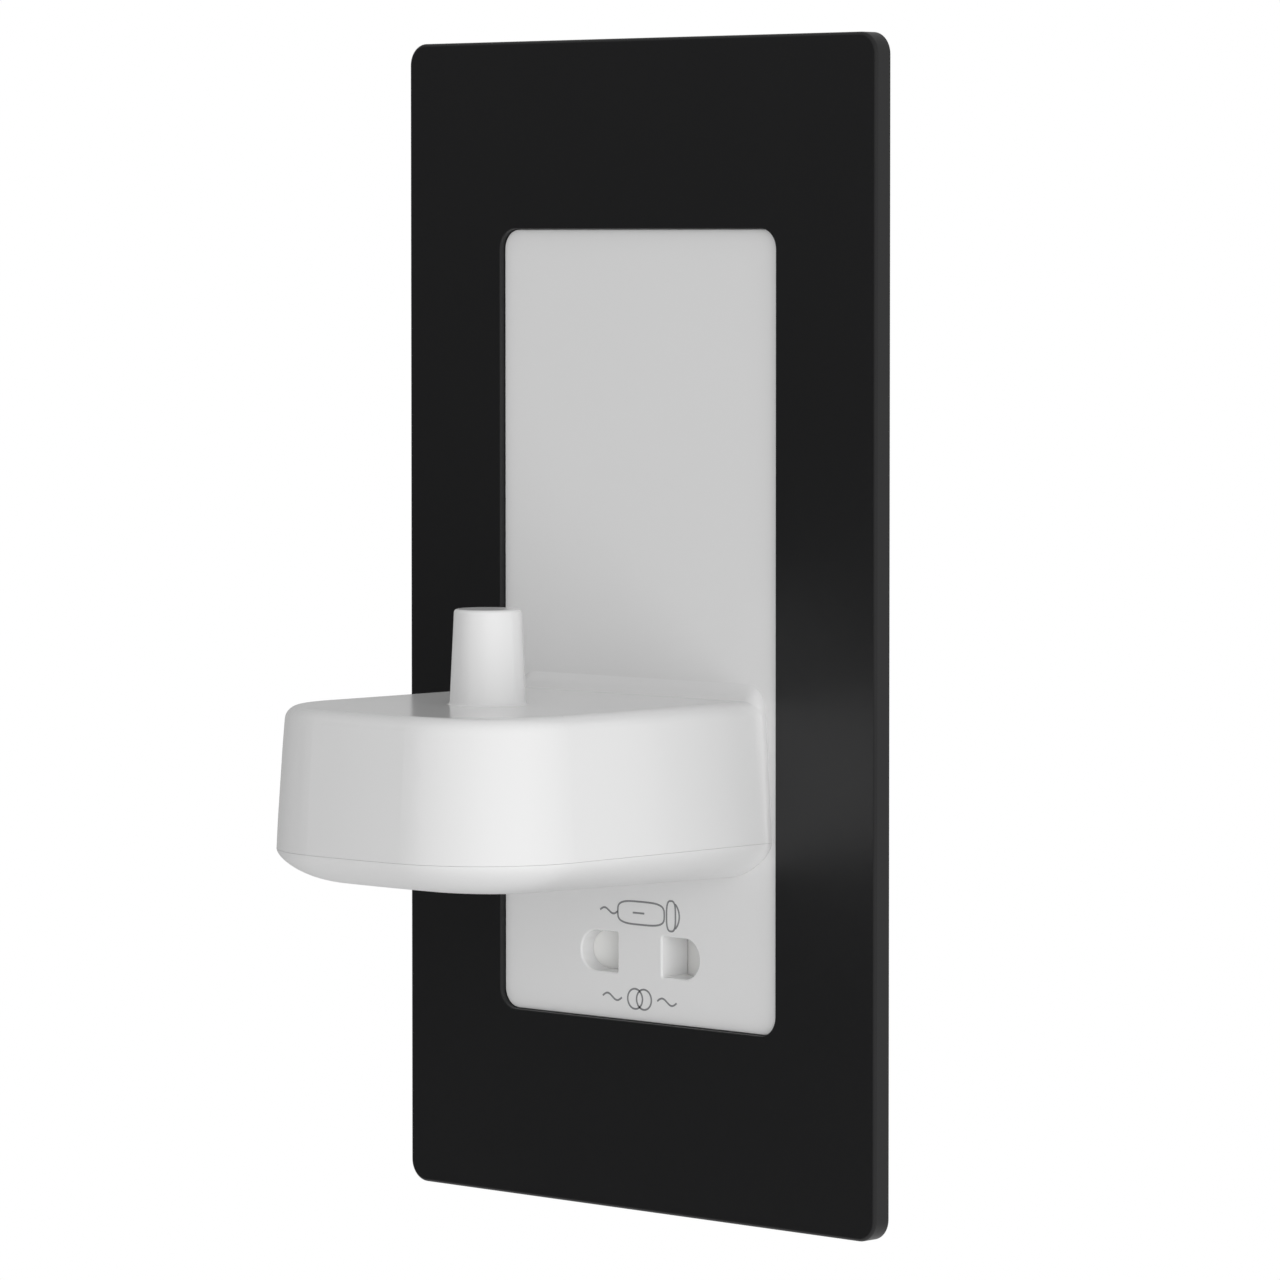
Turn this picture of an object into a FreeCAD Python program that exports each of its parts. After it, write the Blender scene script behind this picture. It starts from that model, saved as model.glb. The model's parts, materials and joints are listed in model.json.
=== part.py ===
# Wall unit with a shaver socket and a toothbrush charging shelf, as separate solids in millimetres.
# The origin is the middle of the wall plane, +Z is up, +X is to the right of someone facing the
# unit, and the front faces -Y. What stands behind the wall plane lies inside the wall box.
import FreeCAD
import Part
import math
import os

Vector = FreeCAD.Vector

# Faceplate
window_width = 52.0
window_height = 109.6
window_corner = 2.8
window_edge = 0.15
plate_width = 88.0
plate_height = 162.0
plate_depth = 2.85
plate_rim = 2.2
plate_corner = 3.0
plate_inner_corner = 0.8
plate_edge = 0.45
plate_seat_gap = 0.15
pry_notch_width = 8.0
pry_notch_depth = 1.2

# Snap hooks that hold the faceplate on the yoke
hook_width = 6.0
hook_thickness = 1.2
hook_reach = 2.6
hook_barb = 0.9
hook_barb_rise = 0.6
hook_offset_x = 18.0
hook_clearance = 0.4
hook_from_flange = 2.0

# Mounting yoke, a pressed steel plate on the wall
yoke_to_rim = 3.8
yoke_sheet = 1.2
yoke_corner = 4.0
yoke_clearance = 0.4
fixing_spacing = 120.6
fixing_hole = 4.2
fixing_head = 6.6
fixing_boss_depth = 1.0
fixing_boss_wall = 1.5
fixing_boss_flare = 0.6
fixing_relief = 0.5

# White front panel
panel_recess = 0.9
panel_gap = 0.06
panel_wall = 2.4
panel_side_wall = 2.0
panel_edge = 0.15
panel_inner_corner = 0.6
flange_end = 1.45
flange_lip = 5.9
flange_thickness = 2.2
flange_corner = 5.0

# Charging shelf on the panel
shelf_margin = 1.35
shelf_reach = 54.7
shelf_corner = 16.8
shelf_crown = 157.0
shelf_seam_height = 26.35
shelf_height = 19.2
shelf_lean = 1.3
shelf_bulge = 0.08
shelf_top_edge = 2.0
shelf_wall = 2.2
shelf_cove = 2.15
cove_hollow = 0.4
cove_sections = 6
cove_set_in = 0.12
lead_window_width = 28.0
lead_window_height = 9.0
lead_window_corner = 1.5

# Base cover of the shelf
cover_depth = 4.2
cover_back_depth = 5.2
cover_round = 8.0
cover_fullness = 1.6
cover_sections = 9
cover_wall = 2.0
cover_gap = 0.03
tongue_height = 1.5
tongue_thickness = 1.2
tongue_clearance = 0.15

# Charging post
post_reach = 28.95
post_top_diameter = 9.1
post_foot_diameter = 10.35
post_height = 12.9
post_top_edge = 0.5
post_foot_flare = 0.45
post_cap = 1.35

# Shaver apertures
aperture_rise = 9.3
aperture_inner = 4.2
aperture_outer = 11.13
aperture_height = 5.65
aperture_depth = 5.3
aperture_corner = 0.3
aperture_rim = 0.3
collar_wall = 1.2

# Shutter blades and their springs
shutter_clearance = 0.3
shutter_face_gap = 0.08
shutter_half_height = 4.3
shutter_thickness = 6.85
shutter_lap_inner = 0.8
shutter_lap_outer = 1.4
shutter_travel = 7.2
shutter_spare = 2.5
shutter_edge = 0.3
spring_wire = 0.4
spring_diameter = 2.6
spring_turns = 6
spring_pocket = 5.0
spring_cover = 0.8
spring_clearance = 0.3

# Socket carrier behind the panel
carrier_wall = 1.2
carrier_floor = 1.5
carrier_end = 1.3
carrier_depth = 25.0
carrier_corner = 1.0
carrier_clearance = 0.4
carrier_screw = 2.5
carrier_screw_x = 15.0
carrier_screw_rise = 9.9
carrier_boss = 6.0
chamber_margin = 0.6

# Spring contacts
contact_sheet = 0.5
contact_width = 5.6
contact_gap = 4.4
contact_clearance = 0.6
contact_tail_width = 3.6
contact_tail_length = 2.0
contact_shoulder = 2.0

# Rear housing inside the wall box
housing_inset = 2.0
housing_wall = 2.0
housing_corner = 5.0
housing_edge = 2.0
housing_flange = 2.5
housing_screw_from_end = 12.0
gusset_thickness = 1.4
gusset_height = 6.0
gusset_pitch = 13.0
gusset_first_z = 2.0

# Screws, with the sizes of their heads as ratios to the thread diameter
screw_diameter = 3.0
screw_clearance = 0.2
thread_clearance = 0.03
head_ratio = 1.6
head_height_ratio = 0.6
head_round_ratio = 0.25
slot_ratio = 0.25

# Isolating transformer
core_leg = 13.0
core_window = 7.0
core_window_length = 20.0
core_stack = 18.0
core_gap = 7.75
core_headroom = 8.2
core_to_step = 36.0
former_clearance = 0.2
former_wall = 1.0
former_flange = 1.0
former_corner = 1.0
winding_inset = 0.7
winding_corner = 2.5
strap_sheet = 0.8
strap_width = 12.0
strap_foot = 5.4
strap_clearance = 0.4
strap_boss_height = 4.0
cutout_length = 9.0
cutout_width = 7.0
cutout_height = 3.6
cutout_edge = 0.5

# Mains terminals on the back
terminal_pitch = 13.0
terminal_drop = 15.0
terminal_chamber = 9.0
terminal_wall = 1.6
terminal_height = 18.0
terminal_depth = 13.0
terminal_corner = 1.0
terminal_screw = 3.5
terminal_screw_length = 1.6
terminal_clearance = 0.3
clamp_height = 13.0
clamp_wire_hole = 3.6
clamp_roof = 2.0
peg_diameter = 3.0
peg_head = 5.2
peg_head_height = 1.2

# Charger inside the shelf
board_thickness = 1.6
board_clearance = 1.0
board_lift = 1.2
board_post = 4.0
ferrite_diameter = 5.8
ferrite_clearance = 0.3
ferrite_edge = 0.4
coil_former_diameter = 23.0
coil_former_wall = 1.0
coil_former_clearance = 0.05
coil_diameter = 20.5
coil_head_gap = 0.4
capacitor_diameter = 8.0
capacitor_headroom = 3.0
capacitor_groove = 0.4
film_width = 7.0
film_length = 11.0
film_height = 8.0
film_edge = 0.6
chip_length = 5.0
chip_width = 4.0
chip_height = 1.5
chip_pitch = 1.27
chip_leg = 0.4
component_margin = 4.0

# Internal leads
lead_diameter = 1.8
lead_bend = 4.0
lead_clearance = 0.7
lead_spacing = 4.0
earth_tag_thickness = 0.8
earth_tag_diameter = 5.6
earth_tail_width = 2.6
earth_tail_length = 9.0

# A cutting tool starts this far outside what it cuts, and a joined piece sinks this far into its carrier
overshoot = 1.0
sink = 0.5

# Planes and sizes that follow from the values above
plate_front = -plate_depth
plate_back = -yoke_sheet - plate_seat_gap
panel_front = plate_front + panel_recess
panel_back = panel_front + panel_wall
pad_width = window_width - 2 * panel_gap
pad_height = window_height - 2 * panel_gap
pad_corner = window_corner - panel_gap
core_width = 2 * core_leg + 2 * core_window
core_length = core_window_length + core_leg
core_front = panel_back + core_gap
core_back = core_front + core_length
core_mid = (core_front + core_back) / 2
housing_width = core_width + 2 * (strap_sheet + strap_foot + strap_clearance + housing_wall)
flange_width = housing_width + 2 * flange_lip
flange_height = pad_height + 2 * flange_end
housing_height = flange_height - 2 * housing_inset
housing_front = flange_thickness
housing_depth = core_back + housing_wall
step_back = carrier_depth + contact_tail_length + overshoot
housing_step_depth = step_back + housing_wall
housing_screw_x = (housing_width + flange_width) / 4
housing_screw_z = housing_height / 2 - housing_screw_from_end
flange_back = housing_front + housing_flange
yoke_width = plate_width - 2 * (plate_rim + yoke_to_rim)
yoke_height = plate_height - 2 * (plate_rim + yoke_to_rim)
fixing_boss = fixing_hole + 2 * fixing_boss_wall

window_foot_z = -window_height / 2
shelf_half_width = pad_width / 2 - shelf_margin
shelf_front = plate_front - shelf_reach
shelf_seam_z = window_foot_z + shelf_seam_height
shelf_top_z = shelf_seam_z + shelf_height
shelf_roof = shelf_top_z - shelf_wall
lead_window_z = (shelf_seam_z + shelf_roof) / 2
cover_foot_z = shelf_seam_z - cover_depth
cover_top_z = shelf_seam_z - cover_gap
cover_back = panel_front - cover_gap - cover_wall
post_y = plate_front - post_reach
post_top_z = shelf_top_z + post_height

aperture_z = window_foot_z + aperture_rise
aperture_depth_outer = panel_wall + shutter_face_gap
aperture_slope = (aperture_depth - aperture_depth_outer) / (aperture_outer - aperture_inner)
aperture_middle = (aperture_inner + aperture_outer) / 2
shutter_inner = aperture_inner - shutter_lap_inner
shutter_outer = aperture_outer + shutter_lap_outer
shutter_face = panel_back + shutter_face_gap
shutter_back = shutter_face + shutter_thickness
spring_axis_y = shutter_back - spring_diameter / 2 - spring_clearance - spring_cover
spring_seat = shutter_outer - spring_pocket
spring_stop = shutter_outer + shutter_travel + shutter_spare
tray_half_height = shutter_half_height + shutter_clearance
tray_floor = shutter_back + shutter_clearance
chamber_front = tray_floor + carrier_floor
chamber_back = carrier_depth - carrier_wall
carrier_half_height = tray_half_height + carrier_wall
carrier_half_width = spring_stop + carrier_end
carrier_screw_z = aperture_z + carrier_screw_rise

former_hole_x = core_leg + 2 * former_clearance
former_hole_z = core_stack + 2 * former_clearance
former_width = core_leg + 2 * (core_window - former_clearance)
former_height = core_stack + 2 * (core_window - former_clearance)
former_front = core_front + core_leg / 2 + former_clearance
former_back = core_back - core_leg / 2 - former_clearance
core_z = housing_height / 2 - housing_wall - core_headroom - former_height / 2
winding_top = core_z + former_height / 2 - winding_inset
winding_foot = core_z - former_height / 2 + winding_inset
housing_step_z = core_z - core_to_step
strap_screw_x = core_width / 2 + strap_sheet + strap_foot / 2
strap_seat = core_back - strap_boss_height

terminal_z = housing_step_z - terminal_drop
terminal_width = 3 * terminal_pitch + terminal_wall
terminal_top = terminal_z + terminal_height / 2
chamber_roof = terminal_top - terminal_wall
clamp_front = housing_step_depth + 2 * terminal_wall
clamp_back = (housing_step_depth + terminal_depth - terminal_wall - terminal_clearance
              - terminal_screw * head_height_ratio)
clamp_mid = (clamp_front + clamp_back) / 2
peg_x = terminal_width / 2 - peg_head / 2 - terminal_clearance
lead_hole = lead_diameter + 2 * lead_clearance

board_bottom = shelf_seam_z + board_lift
board_top = board_bottom + board_thickness
board_back = cover_back - tongue_thickness - board_clearance


def rounded_wire(points, radii, place):
    """Closed wire through corner points, each corner replaced by a tangent arc of its radius."""
    count = len(points)
    stops = []
    for i in range(count):
        corner = Vector(*points[i], 0)
        before = Vector(*points[i - 1], 0) - corner
        after = Vector(*points[(i + 1) % count], 0) - corner
        before.normalize()
        after.normalize()
        half = before.getAngle(after) / 2
        middle = before + after
        middle.normalize()
        length = radii[i] / math.tan(half)
        bow = radii[i] / math.sin(half) - radii[i]
        stops.append((corner + before * length, corner + middle * bow, corner + after * length))
    edges = []
    for i in range(count):
        start, bow, end = (place(p.x, p.y) for p in stops[i])
        if radii[i] > 0:
            edges.append(Part.Arc(start, bow, end).toShape())
        following = stops[(i + 1) % count][0]
        following = place(following.x, following.y)
        if (following - end).Length > 1e-6:
            edges.append(Part.LineSegment(end, following).toShape())
    return Part.Wire(edges)


def plane_xz(y):
    return lambda u, v: Vector(u, y, v)


def plane_xy(z):
    return lambda u, v: Vector(u, v, z)


def plane_yz(x):
    return lambda u, v: Vector(x, u, v)


def prism(points, place, direction, radii=None):
    wire = rounded_wire(points, radii or [0] * len(points), place)
    return Part.Face(wire).extrude(direction)


def slab(width, height, corner, y_from, y_to, x=0.0, z=0.0):
    """Plate with round corners in front view, from one depth to another."""
    a, b = width / 2, height / 2
    points = [(x - a, z - b), (x + a, z - b), (x + a, z + b), (x - a, z + b)]
    return prism(points, plane_xz(y_from), Vector(0, y_to - y_from, 0), [corner] * 4)


def block(x0, x1, y0, y1, z0, z1):
    return Part.makeBox(x1 - x0, y1 - y0, z1 - z0, Vector(x0, y0, z0))


def rod_y(diameter, x, z, y0, y1):
    return Part.makeCylinder(diameter / 2, y1 - y0, Vector(x, y0, z), Vector(0, 1, 0))


def rod_z(diameter, x, y, z0, z1):
    return Part.makeCylinder(diameter / 2, z1 - z0, Vector(x, y, z0), Vector(0, 0, 1))


def mirrored(shape):
    return shape.mirror(Vector(0, 0, 0), Vector(1, 0, 0))


def both_sides(shape):
    return [shape, mirrored(shape)]


def edges_at(shape, test):
    """Edges whose ends and middle all pass the test."""
    chosen = []
    for edge in shape.Edges:
        first, last = edge.ParameterRange
        samples = [edge.valueAt(first + (last - first) * t) for t in (0.0, 0.5, 1.0)]
        if all(test(p) for p in samples):
            chosen.append(edge)
    return chosen


def near(value, target):
    return abs(value - target) < 1e-4


def on_post_circle(point, diameter):
    return near(math.hypot(point.x, point.y - post_y), diameter / 2)


def strip(points, thickness):
    """Outline of a bent strip: its centre line moved half a thickness to each side."""
    path = [Vector(u, v, 0) for u, v in points]
    runs = [b - a for a, b in zip(path, path[1:])]
    for run in runs:
        run.normalize()
    left, right = [], []
    for point, before, after in zip(path, runs[:1] + runs, runs + runs[-1:]):
        normal = Vector(-before.y - after.y, before.x + after.x, 0)
        normal.normalize()
        reach = thickness / 2 / normal.dot(Vector(-before.y, before.x, 0))
        left.append((point.x + normal.x * reach, point.y + normal.y * reach))
        right.append((point.x - normal.x * reach, point.y - normal.y * reach))
    return left + right[::-1]


def lead(points):
    """Round lead along straight runs joined by tangent arcs."""
    edges = []
    start = points[0]
    for i in range(1, len(points) - 1):
        before = points[i - 1] - points[i]
        after = points[i + 1] - points[i]
        shorter = min(before.Length, after.Length)
        before.normalize()
        after.normalize()
        half = before.getAngle(after) / 2
        radius = min(lead_bend, 0.45 * shorter * math.tan(half))
        length = radius / math.tan(half)
        middle = before + after
        middle.normalize()
        arc_start = points[i] + before * length
        arc_end = points[i] + after * length
        bow = points[i] + middle * (radius / math.sin(half) - radius)
        edges.append(Part.LineSegment(start, arc_start).toShape())
        edges.append(Part.Arc(arc_start, bow, arc_end).toShape())
        start = arc_end
    edges.append(Part.LineSegment(start, points[-1]).toShape())
    circle = Part.Wire(Part.makeCircle(lead_diameter / 2, points[0], points[1] - points[0]))
    return Part.Wire(edges).makePipeShell([circle], True, False)


def pan_screw(x, z, seat, into, thread, length):
    """Slotted pan-head screw along Y: its head's seat at a depth, its shank into +1 or -1."""
    head = thread * head_ratio
    height = thread * head_height_ratio
    profile = [(0, -height), (head / 2, -height), (head / 2, 0),
               (thread / 2, 0), (thread / 2, length), (0, length)]
    rounding = [0, thread * head_round_ratio, 0, 0, 0, 0]
    wire = rounded_wire(profile, rounding, lambda r, y: Vector(x + r, seat + into * y, z))
    body = Part.Face(wire).revolve(Vector(x, 0, z), Vector(0, 1, 0), 360)
    slot = thread * slot_ratio / 2
    groove = sorted((seat - into * height, seat - into * height / 2))
    return body.cut(block(x - head, x + head, groove[0], groove[1], z - slot, z + slot))


def shelf_outline(inset, back, z):
    """Plan of the shelf: straight sides, round front corners and a crowned front, moved in by inset."""
    half = shelf_half_width - inset
    crown_y = shelf_front + shelf_crown
    across = shelf_half_width - shelf_corner
    corner_y = crown_y - math.sqrt((shelf_crown - shelf_corner) ** 2 - across ** 2)
    outward = Vector(across, corner_y - crown_y, 0)
    outward.normalize()
    between = outward + Vector(1, 0, 0)
    between.normalize()
    crown_r = shelf_crown - inset
    corner_r = shelf_corner - inset
    front_end = Vector(outward.x * crown_r, crown_y + outward.y * crown_r, z)
    corner_mid = Vector(across + between.x * corner_r, corner_y + between.y * corner_r, z)
    side_end = Vector(half, corner_y, z)
    back_end = Vector(half, back, z)

    def flip(p):
        return Vector(-p.x, p.y, p.z)

    return Part.Wire([
        Part.LineSegment(back_end, side_end).toShape(),
        Part.Arc(side_end, corner_mid, front_end).toShape(),
        Part.Arc(front_end, Vector(0, crown_y - crown_r, z), flip(front_end)).toShape(),
        Part.Arc(flip(front_end), flip(corner_mid), flip(side_end)).toShape(),
        Part.LineSegment(flip(side_end), flip(back_end)).toShape(),
        Part.LineSegment(flip(back_end), back_end).toShape(),
    ])


def shelf_inset(z):
    """How far the shelf's leaning, slightly bulged side stands in from the seam at a height."""
    share = (z - shelf_seam_z) / shelf_height
    return shelf_lean * share - 4 * shelf_bulge * share * (1 - share)


def cavity_inset(z):
    """How far the inner face of the shelf's wall stands in from the outer seam line at a height."""
    share = (z - shelf_seam_z) / (shelf_roof - shelf_seam_z)
    return shelf_wall + shelf_inset(shelf_roof) * share


def free_rim(body, back, z):
    """Edges of a shelf outline at a height, apart from the straight one at the back."""
    level = edges_at(body, lambda p: near(p.z, z))
    return [edge for edge in level if not edges_at(edge, lambda p: near(p.y, back))]


def shelf_body():
    """Outer form of the shelf above the seam, with its round top edge."""
    back = panel_front + panel_wall / 2
    levels = (shelf_seam_z, (shelf_seam_z + shelf_top_z) / 2, shelf_top_z)
    body = Part.makeLoft([shelf_outline(shelf_inset(z), back, z) for z in levels], True, False)
    return body.makeFillet(shelf_top_edge, free_rim(body, back, shelf_top_z))


def shelf_cove_body():
    """Concave blend of the shelf's top into the panel, between a chamfer and a quarter circle."""
    sections = []
    low = shelf_top_z - 3 * shelf_top_edge
    half_low = shelf_half_width - shelf_inset(low) - cove_set_in
    for i in range(cove_sections + 1):
        share = i / cove_sections
        turn = math.pi / 2 * share
        out = shelf_cove * (share + cove_hollow * (1 - math.cos(turn) - share))
        rise = shelf_cove * (1 - share + cove_hollow * (share - math.sin(turn)))
        top = shelf_top_z + rise
        half_top = shelf_half_width - shelf_inset(top) - cove_set_in
        corner = shelf_top_edge + rise / 2
        points = [(-half_low, low), (half_low, low), (half_top, top), (-half_top, top)]
        sections.append(rounded_wire(points, [0, 0, corner, corner], plane_xz(panel_front - out)))
    return Part.makeLoft(sections, True, False)


def aperture_face(y):
    """D-shaped face of the right-hand aperture: flat side inwards, round side outwards."""
    half = aperture_height / 2
    centre = aperture_outer - half
    low = Vector(centre, y, aperture_z - half)
    high = Vector(centre, y, aperture_z + half)
    place = plane_xz(y)
    bow = aperture_corner * (1 - math.sqrt(0.5))

    def corner(along, up):
        return place(aperture_inner + along, aperture_z + up)

    edges = [Part.Arc(low, Vector(aperture_outer, y, aperture_z), high).toShape()]
    edges.append(Part.LineSegment(high, corner(aperture_corner, half)).toShape())
    edges.append(Part.Arc(corner(aperture_corner, half), corner(bow, half - bow),
                          corner(0, half - aperture_corner)).toShape())
    edges.append(Part.LineSegment(corner(0, half - aperture_corner),
                                  corner(0, aperture_corner - half)).toShape())
    edges.append(Part.Arc(corner(0, aperture_corner - half), corner(bow, bow - half),
                          corner(aperture_corner, -half)).toShape())
    edges.append(Part.LineSegment(corner(aperture_corner, -half), low).toShape())
    return Part.Face(Part.Wire(edges))


def ramp_y(x):
    """Depth of the shutter's sloping face at a distance from the middle."""
    return shutter_face + (aperture_outer - x) * aperture_slope


def faceplate():
    plate = slab(plate_width, plate_height, plate_corner, plate_front, 0)
    plate = plate.makeFillet(plate_edge, edges_at(plate, lambda p: near(p.y, plate_front)))
    hollow = slab(plate_width - 2 * plate_rim, plate_height - 2 * plate_rim, plate_inner_corner,
                  plate_back, overshoot)
    window = slab(window_width, window_height, window_corner, plate_front - overshoot, overshoot)
    notch = block(-pry_notch_width / 2, pry_notch_width / 2, -pry_notch_depth, overshoot,
                  -plate_height / 2 - overshoot, -plate_height / 2 + plate_rim + overshoot)
    plate = plate.cut([hollow, window, notch])
    rim = edges_at(plate, lambda p: near(p.y, plate_front) and abs(p.x) < window_width / 2 + sink
                   and abs(p.z) < window_height / 2 + sink)
    plate = plate.makeFillet(window_edge, rim)

    inner = flange_height / 2 + hook_from_flange
    outer = inner + hook_thickness
    catch = plate_seat_gap
    profile = [
        (plate_back - sink, inner), (hook_reach, inner), (hook_reach, inner + hook_thickness / 2),
        (catch + hook_barb_rise, outer + hook_barb), (catch, outer + hook_barb), (catch, outer),
        (plate_back - sink, outer),
    ]
    hooks = []
    for x in (-hook_offset_x, hook_offset_x):
        for side in (-1, 1):
            points = [(y, side * z) for y, z in profile]
            hooks.append(prism(points, plane_yz(x - hook_width / 2), Vector(hook_width, 0, 0)))
    return plate.fuse(hooks).removeSplitter()


def fixing_places():
    return (-fixing_spacing / 2, fixing_spacing / 2)


def screw_places():
    """Housing screws; the first one also clamps the earth tag."""
    return [(x, z) for x in (-housing_screw_x, housing_screw_x) for z in (-housing_screw_z, housing_screw_z)]


def mounting_yoke():
    yoke = slab(yoke_width, yoke_height, yoke_corner, -yoke_sheet, 0)
    cuts = [slab(pad_width + 2 * yoke_clearance, pad_height + 2 * yoke_clearance,
                 pad_corner + yoke_clearance, -yoke_sheet - overshoot, overshoot)]
    bosses = []
    back = Vector(0, 1, 0)
    for z in fixing_places():
        bosses.append(Part.makeCone(fixing_boss / 2 + fixing_boss_flare, fixing_boss / 2,
                                    fixing_boss_depth + sink, Vector(0, -sink, z), back))
        cuts.append(Part.makeCone(fixing_head / 2, fixing_hole / 2, yoke_sheet,
                                  Vector(0, -yoke_sheet, z), back))
        cuts.append(rod_y(fixing_hole, 0, z, -yoke_sheet - overshoot, fixing_boss_depth + overshoot))
    slot_height = hook_thickness + 2 * hook_clearance
    slot_z = flange_height / 2 + hook_from_flange + hook_thickness / 2
    for x in (-hook_offset_x, hook_offset_x):
        for z in (-slot_z, slot_z):
            cuts.append(slab(hook_width + 2 * hook_clearance, slot_height, hook_clearance,
                             -yoke_sheet - overshoot, overshoot, x, z))
    for x, z in screw_places():
        cuts.append(rod_y(screw_diameter + 2 * thread_clearance, x, z, -yoke_sheet - overshoot, overshoot))
    return yoke.fuse(bosses).cut(cuts).removeSplitter()


def flange_cuts(y0, y1):
    """Screw holes in a flange, and reliefs round the wall fixings."""
    cuts = [rod_y(screw_diameter + 2 * screw_clearance, x, z, y0, y1) for x, z in screw_places()]
    relief = fixing_boss + 2 * (fixing_boss_flare + fixing_relief)
    return cuts + [rod_y(relief, 0, z, y0, y1) for z in fixing_places()]


def shelf_with_post():
    post = Part.makeCone(post_foot_diameter / 2, post_top_diameter / 2, post_height,
                         Vector(0, post_y, shelf_top_z))
    top = edges_at(post, lambda p: near(p.z, post_top_z) and on_post_circle(p, post_top_diameter))
    post = post.makeFillet(post_top_edge, top)
    root = rod_z(post_foot_diameter, 0, post_y, shelf_top_z - sink, shelf_top_z)
    shelf = shelf_body().fuse([post, root]).removeSplitter()
    foot = edges_at(shelf, lambda p: near(p.z, shelf_top_z) and on_post_circle(p, post_foot_diameter))
    return shelf.makeFillet(post_foot_flare, foot).fuse(shelf_cove_body())


def aperture_collar():
    """Wall round the right-hand aperture behind the panel, cut off along the shutter's slope."""
    start = aperture_inner - collar_wall
    end = aperture_outer + collar_wall
    half = aperture_height / 2 + collar_wall
    front = panel_back - sink
    meet = aperture_outer - (front + shutter_face_gap - shutter_face) / aperture_slope
    points = [(start, front), (min(meet, end), front), (start, ramp_y(start) - shutter_face_gap)]
    return prism(points, plane_xy(aperture_z - half), Vector(0, 0, 2 * half))


def front_panel():
    """White moulding: panel and flange, shelf shell, post, and the apertures with their collars."""
    pad = slab(pad_width, pad_height, pad_corner, panel_front, flange_thickness / 2)
    pad = pad.makeFillet(panel_edge, edges_at(pad, lambda p: near(p.y, panel_front)))
    hole = aperture_face(panel_front - overshoot).extrude(Vector(0, tray_floor + plate_depth + overshoot, 0))
    pad = pad.cut(both_sides(hole))
    rims = edges_at(pad, lambda p: near(p.y, panel_front) and abs(p.x) < aperture_outer + sink
                    and abs(p.z - aperture_z) < aperture_height)
    pad = pad.makeFillet(aperture_rim, rims)
    flange = slab(flange_width, flange_height, flange_corner, 0, flange_thickness)
    behind = flange_thickness + overshoot
    recess = slab(pad_width - 2 * panel_side_wall, pad_height - 2 * panel_side_wall, panel_inner_corner,
                  panel_back, behind)
    pocket = slab(2 * (carrier_half_width + carrier_clearance), 2 * (carrier_half_height + carrier_clearance),
                  panel_inner_corner, panel_back, behind, 0, aperture_z)
    panel = pad.fuse(flange).cut([recess, pocket] + flange_cuts(-overshoot, behind))

    cavity = Part.makeLoft([
        shelf_outline(cavity_inset(z), panel_front, z) for z in (shelf_seam_z - overshoot, shelf_roof)
    ], True, True)
    bore = rod_z(ferrite_diameter + 2 * ferrite_clearance, 0, post_y, shelf_roof - overshoot,
                 post_top_z - post_cap)
    window = slab(lead_window_width, lead_window_height, lead_window_corner, panel_front - overshoot,
                  panel_back + overshoot, 0, lead_window_z)
    panel = panel.fuse(shelf_with_post()).cut([cavity, bore, window])

    boss = rod_y(carrier_boss, carrier_screw_x, carrier_screw_z, panel_back - sink, tray_floor)
    pilot = rod_y(carrier_screw + 2 * thread_clearance, carrier_screw_x, carrier_screw_z,
                  panel_back, tray_floor + overshoot)
    panel = panel.fuse(both_sides(aperture_collar()) + both_sides(boss))
    return panel.cut(both_sides(hole) + both_sides(pilot)).removeSplitter()


def tongue_inset():
    """Outer face of the tongue: inside the shelf's leaning wall at the tongue's top."""
    return cavity_inset(cover_top_z + tongue_height) + tongue_clearance


def board_posts():
    side = shelf_half_width - shelf_corner / 2 - board_post
    back = board_back - board_post
    return [(-side, back), (side, back), (0, post_y - coil_diameter / 2)]


def cover_section(share):
    """Outline of the base cover at a share of its depth. The sides turn in on a superellipse, and the
    depth grows from the front to the panel, so each outline lies in a tilted plane."""
    inset = cover_round * (1 - (1 - share ** cover_fullness) ** (1 / cover_fullness))
    fall = share * (cover_back_depth - cover_depth) / (panel_front - shelf_front)
    tilt = FreeCAD.Matrix()
    tilt.A32 = -fall
    tilt.A34 = fall * shelf_front - share * (cover_depth - cover_gap)
    return shelf_outline(inset, panel_front - cover_gap, cover_top_z).transformGeometry(tilt)


def shelf_base_cover():
    """Shallow dish under the shelf: a full round edge below the seam and a flat, slightly sloping foot."""
    shares = [math.sin(math.pi / 2 * i / cover_sections) for i in range(cover_sections + 1)]
    dish = Part.makeLoft([cover_section(share) for share in shares], True, False)
    inset = tongue_inset()
    floor = cover_foot_z + cover_wall
    hollow = Part.makeLoft([
        shelf_outline(inset + cover_depth, cover_back, floor),
        shelf_outline(inset + tongue_thickness, cover_back, cover_top_z + overshoot),
    ], True, True)
    outer = Part.Face(shelf_outline(inset, cover_back, cover_top_z - sink))
    inner = Part.Face(shelf_outline(inset + tongue_thickness, cover_back - tongue_thickness,
                                    cover_top_z - sink))
    tongue = outer.cut(inner).extrude(Vector(0, 0, sink + tongue_height))
    posts = [rod_z(board_post, x, y, floor - sink, board_bottom) for x, y in board_posts()]
    return dish.cut(hollow).fuse([tongue] + posts).removeSplitter()


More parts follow.
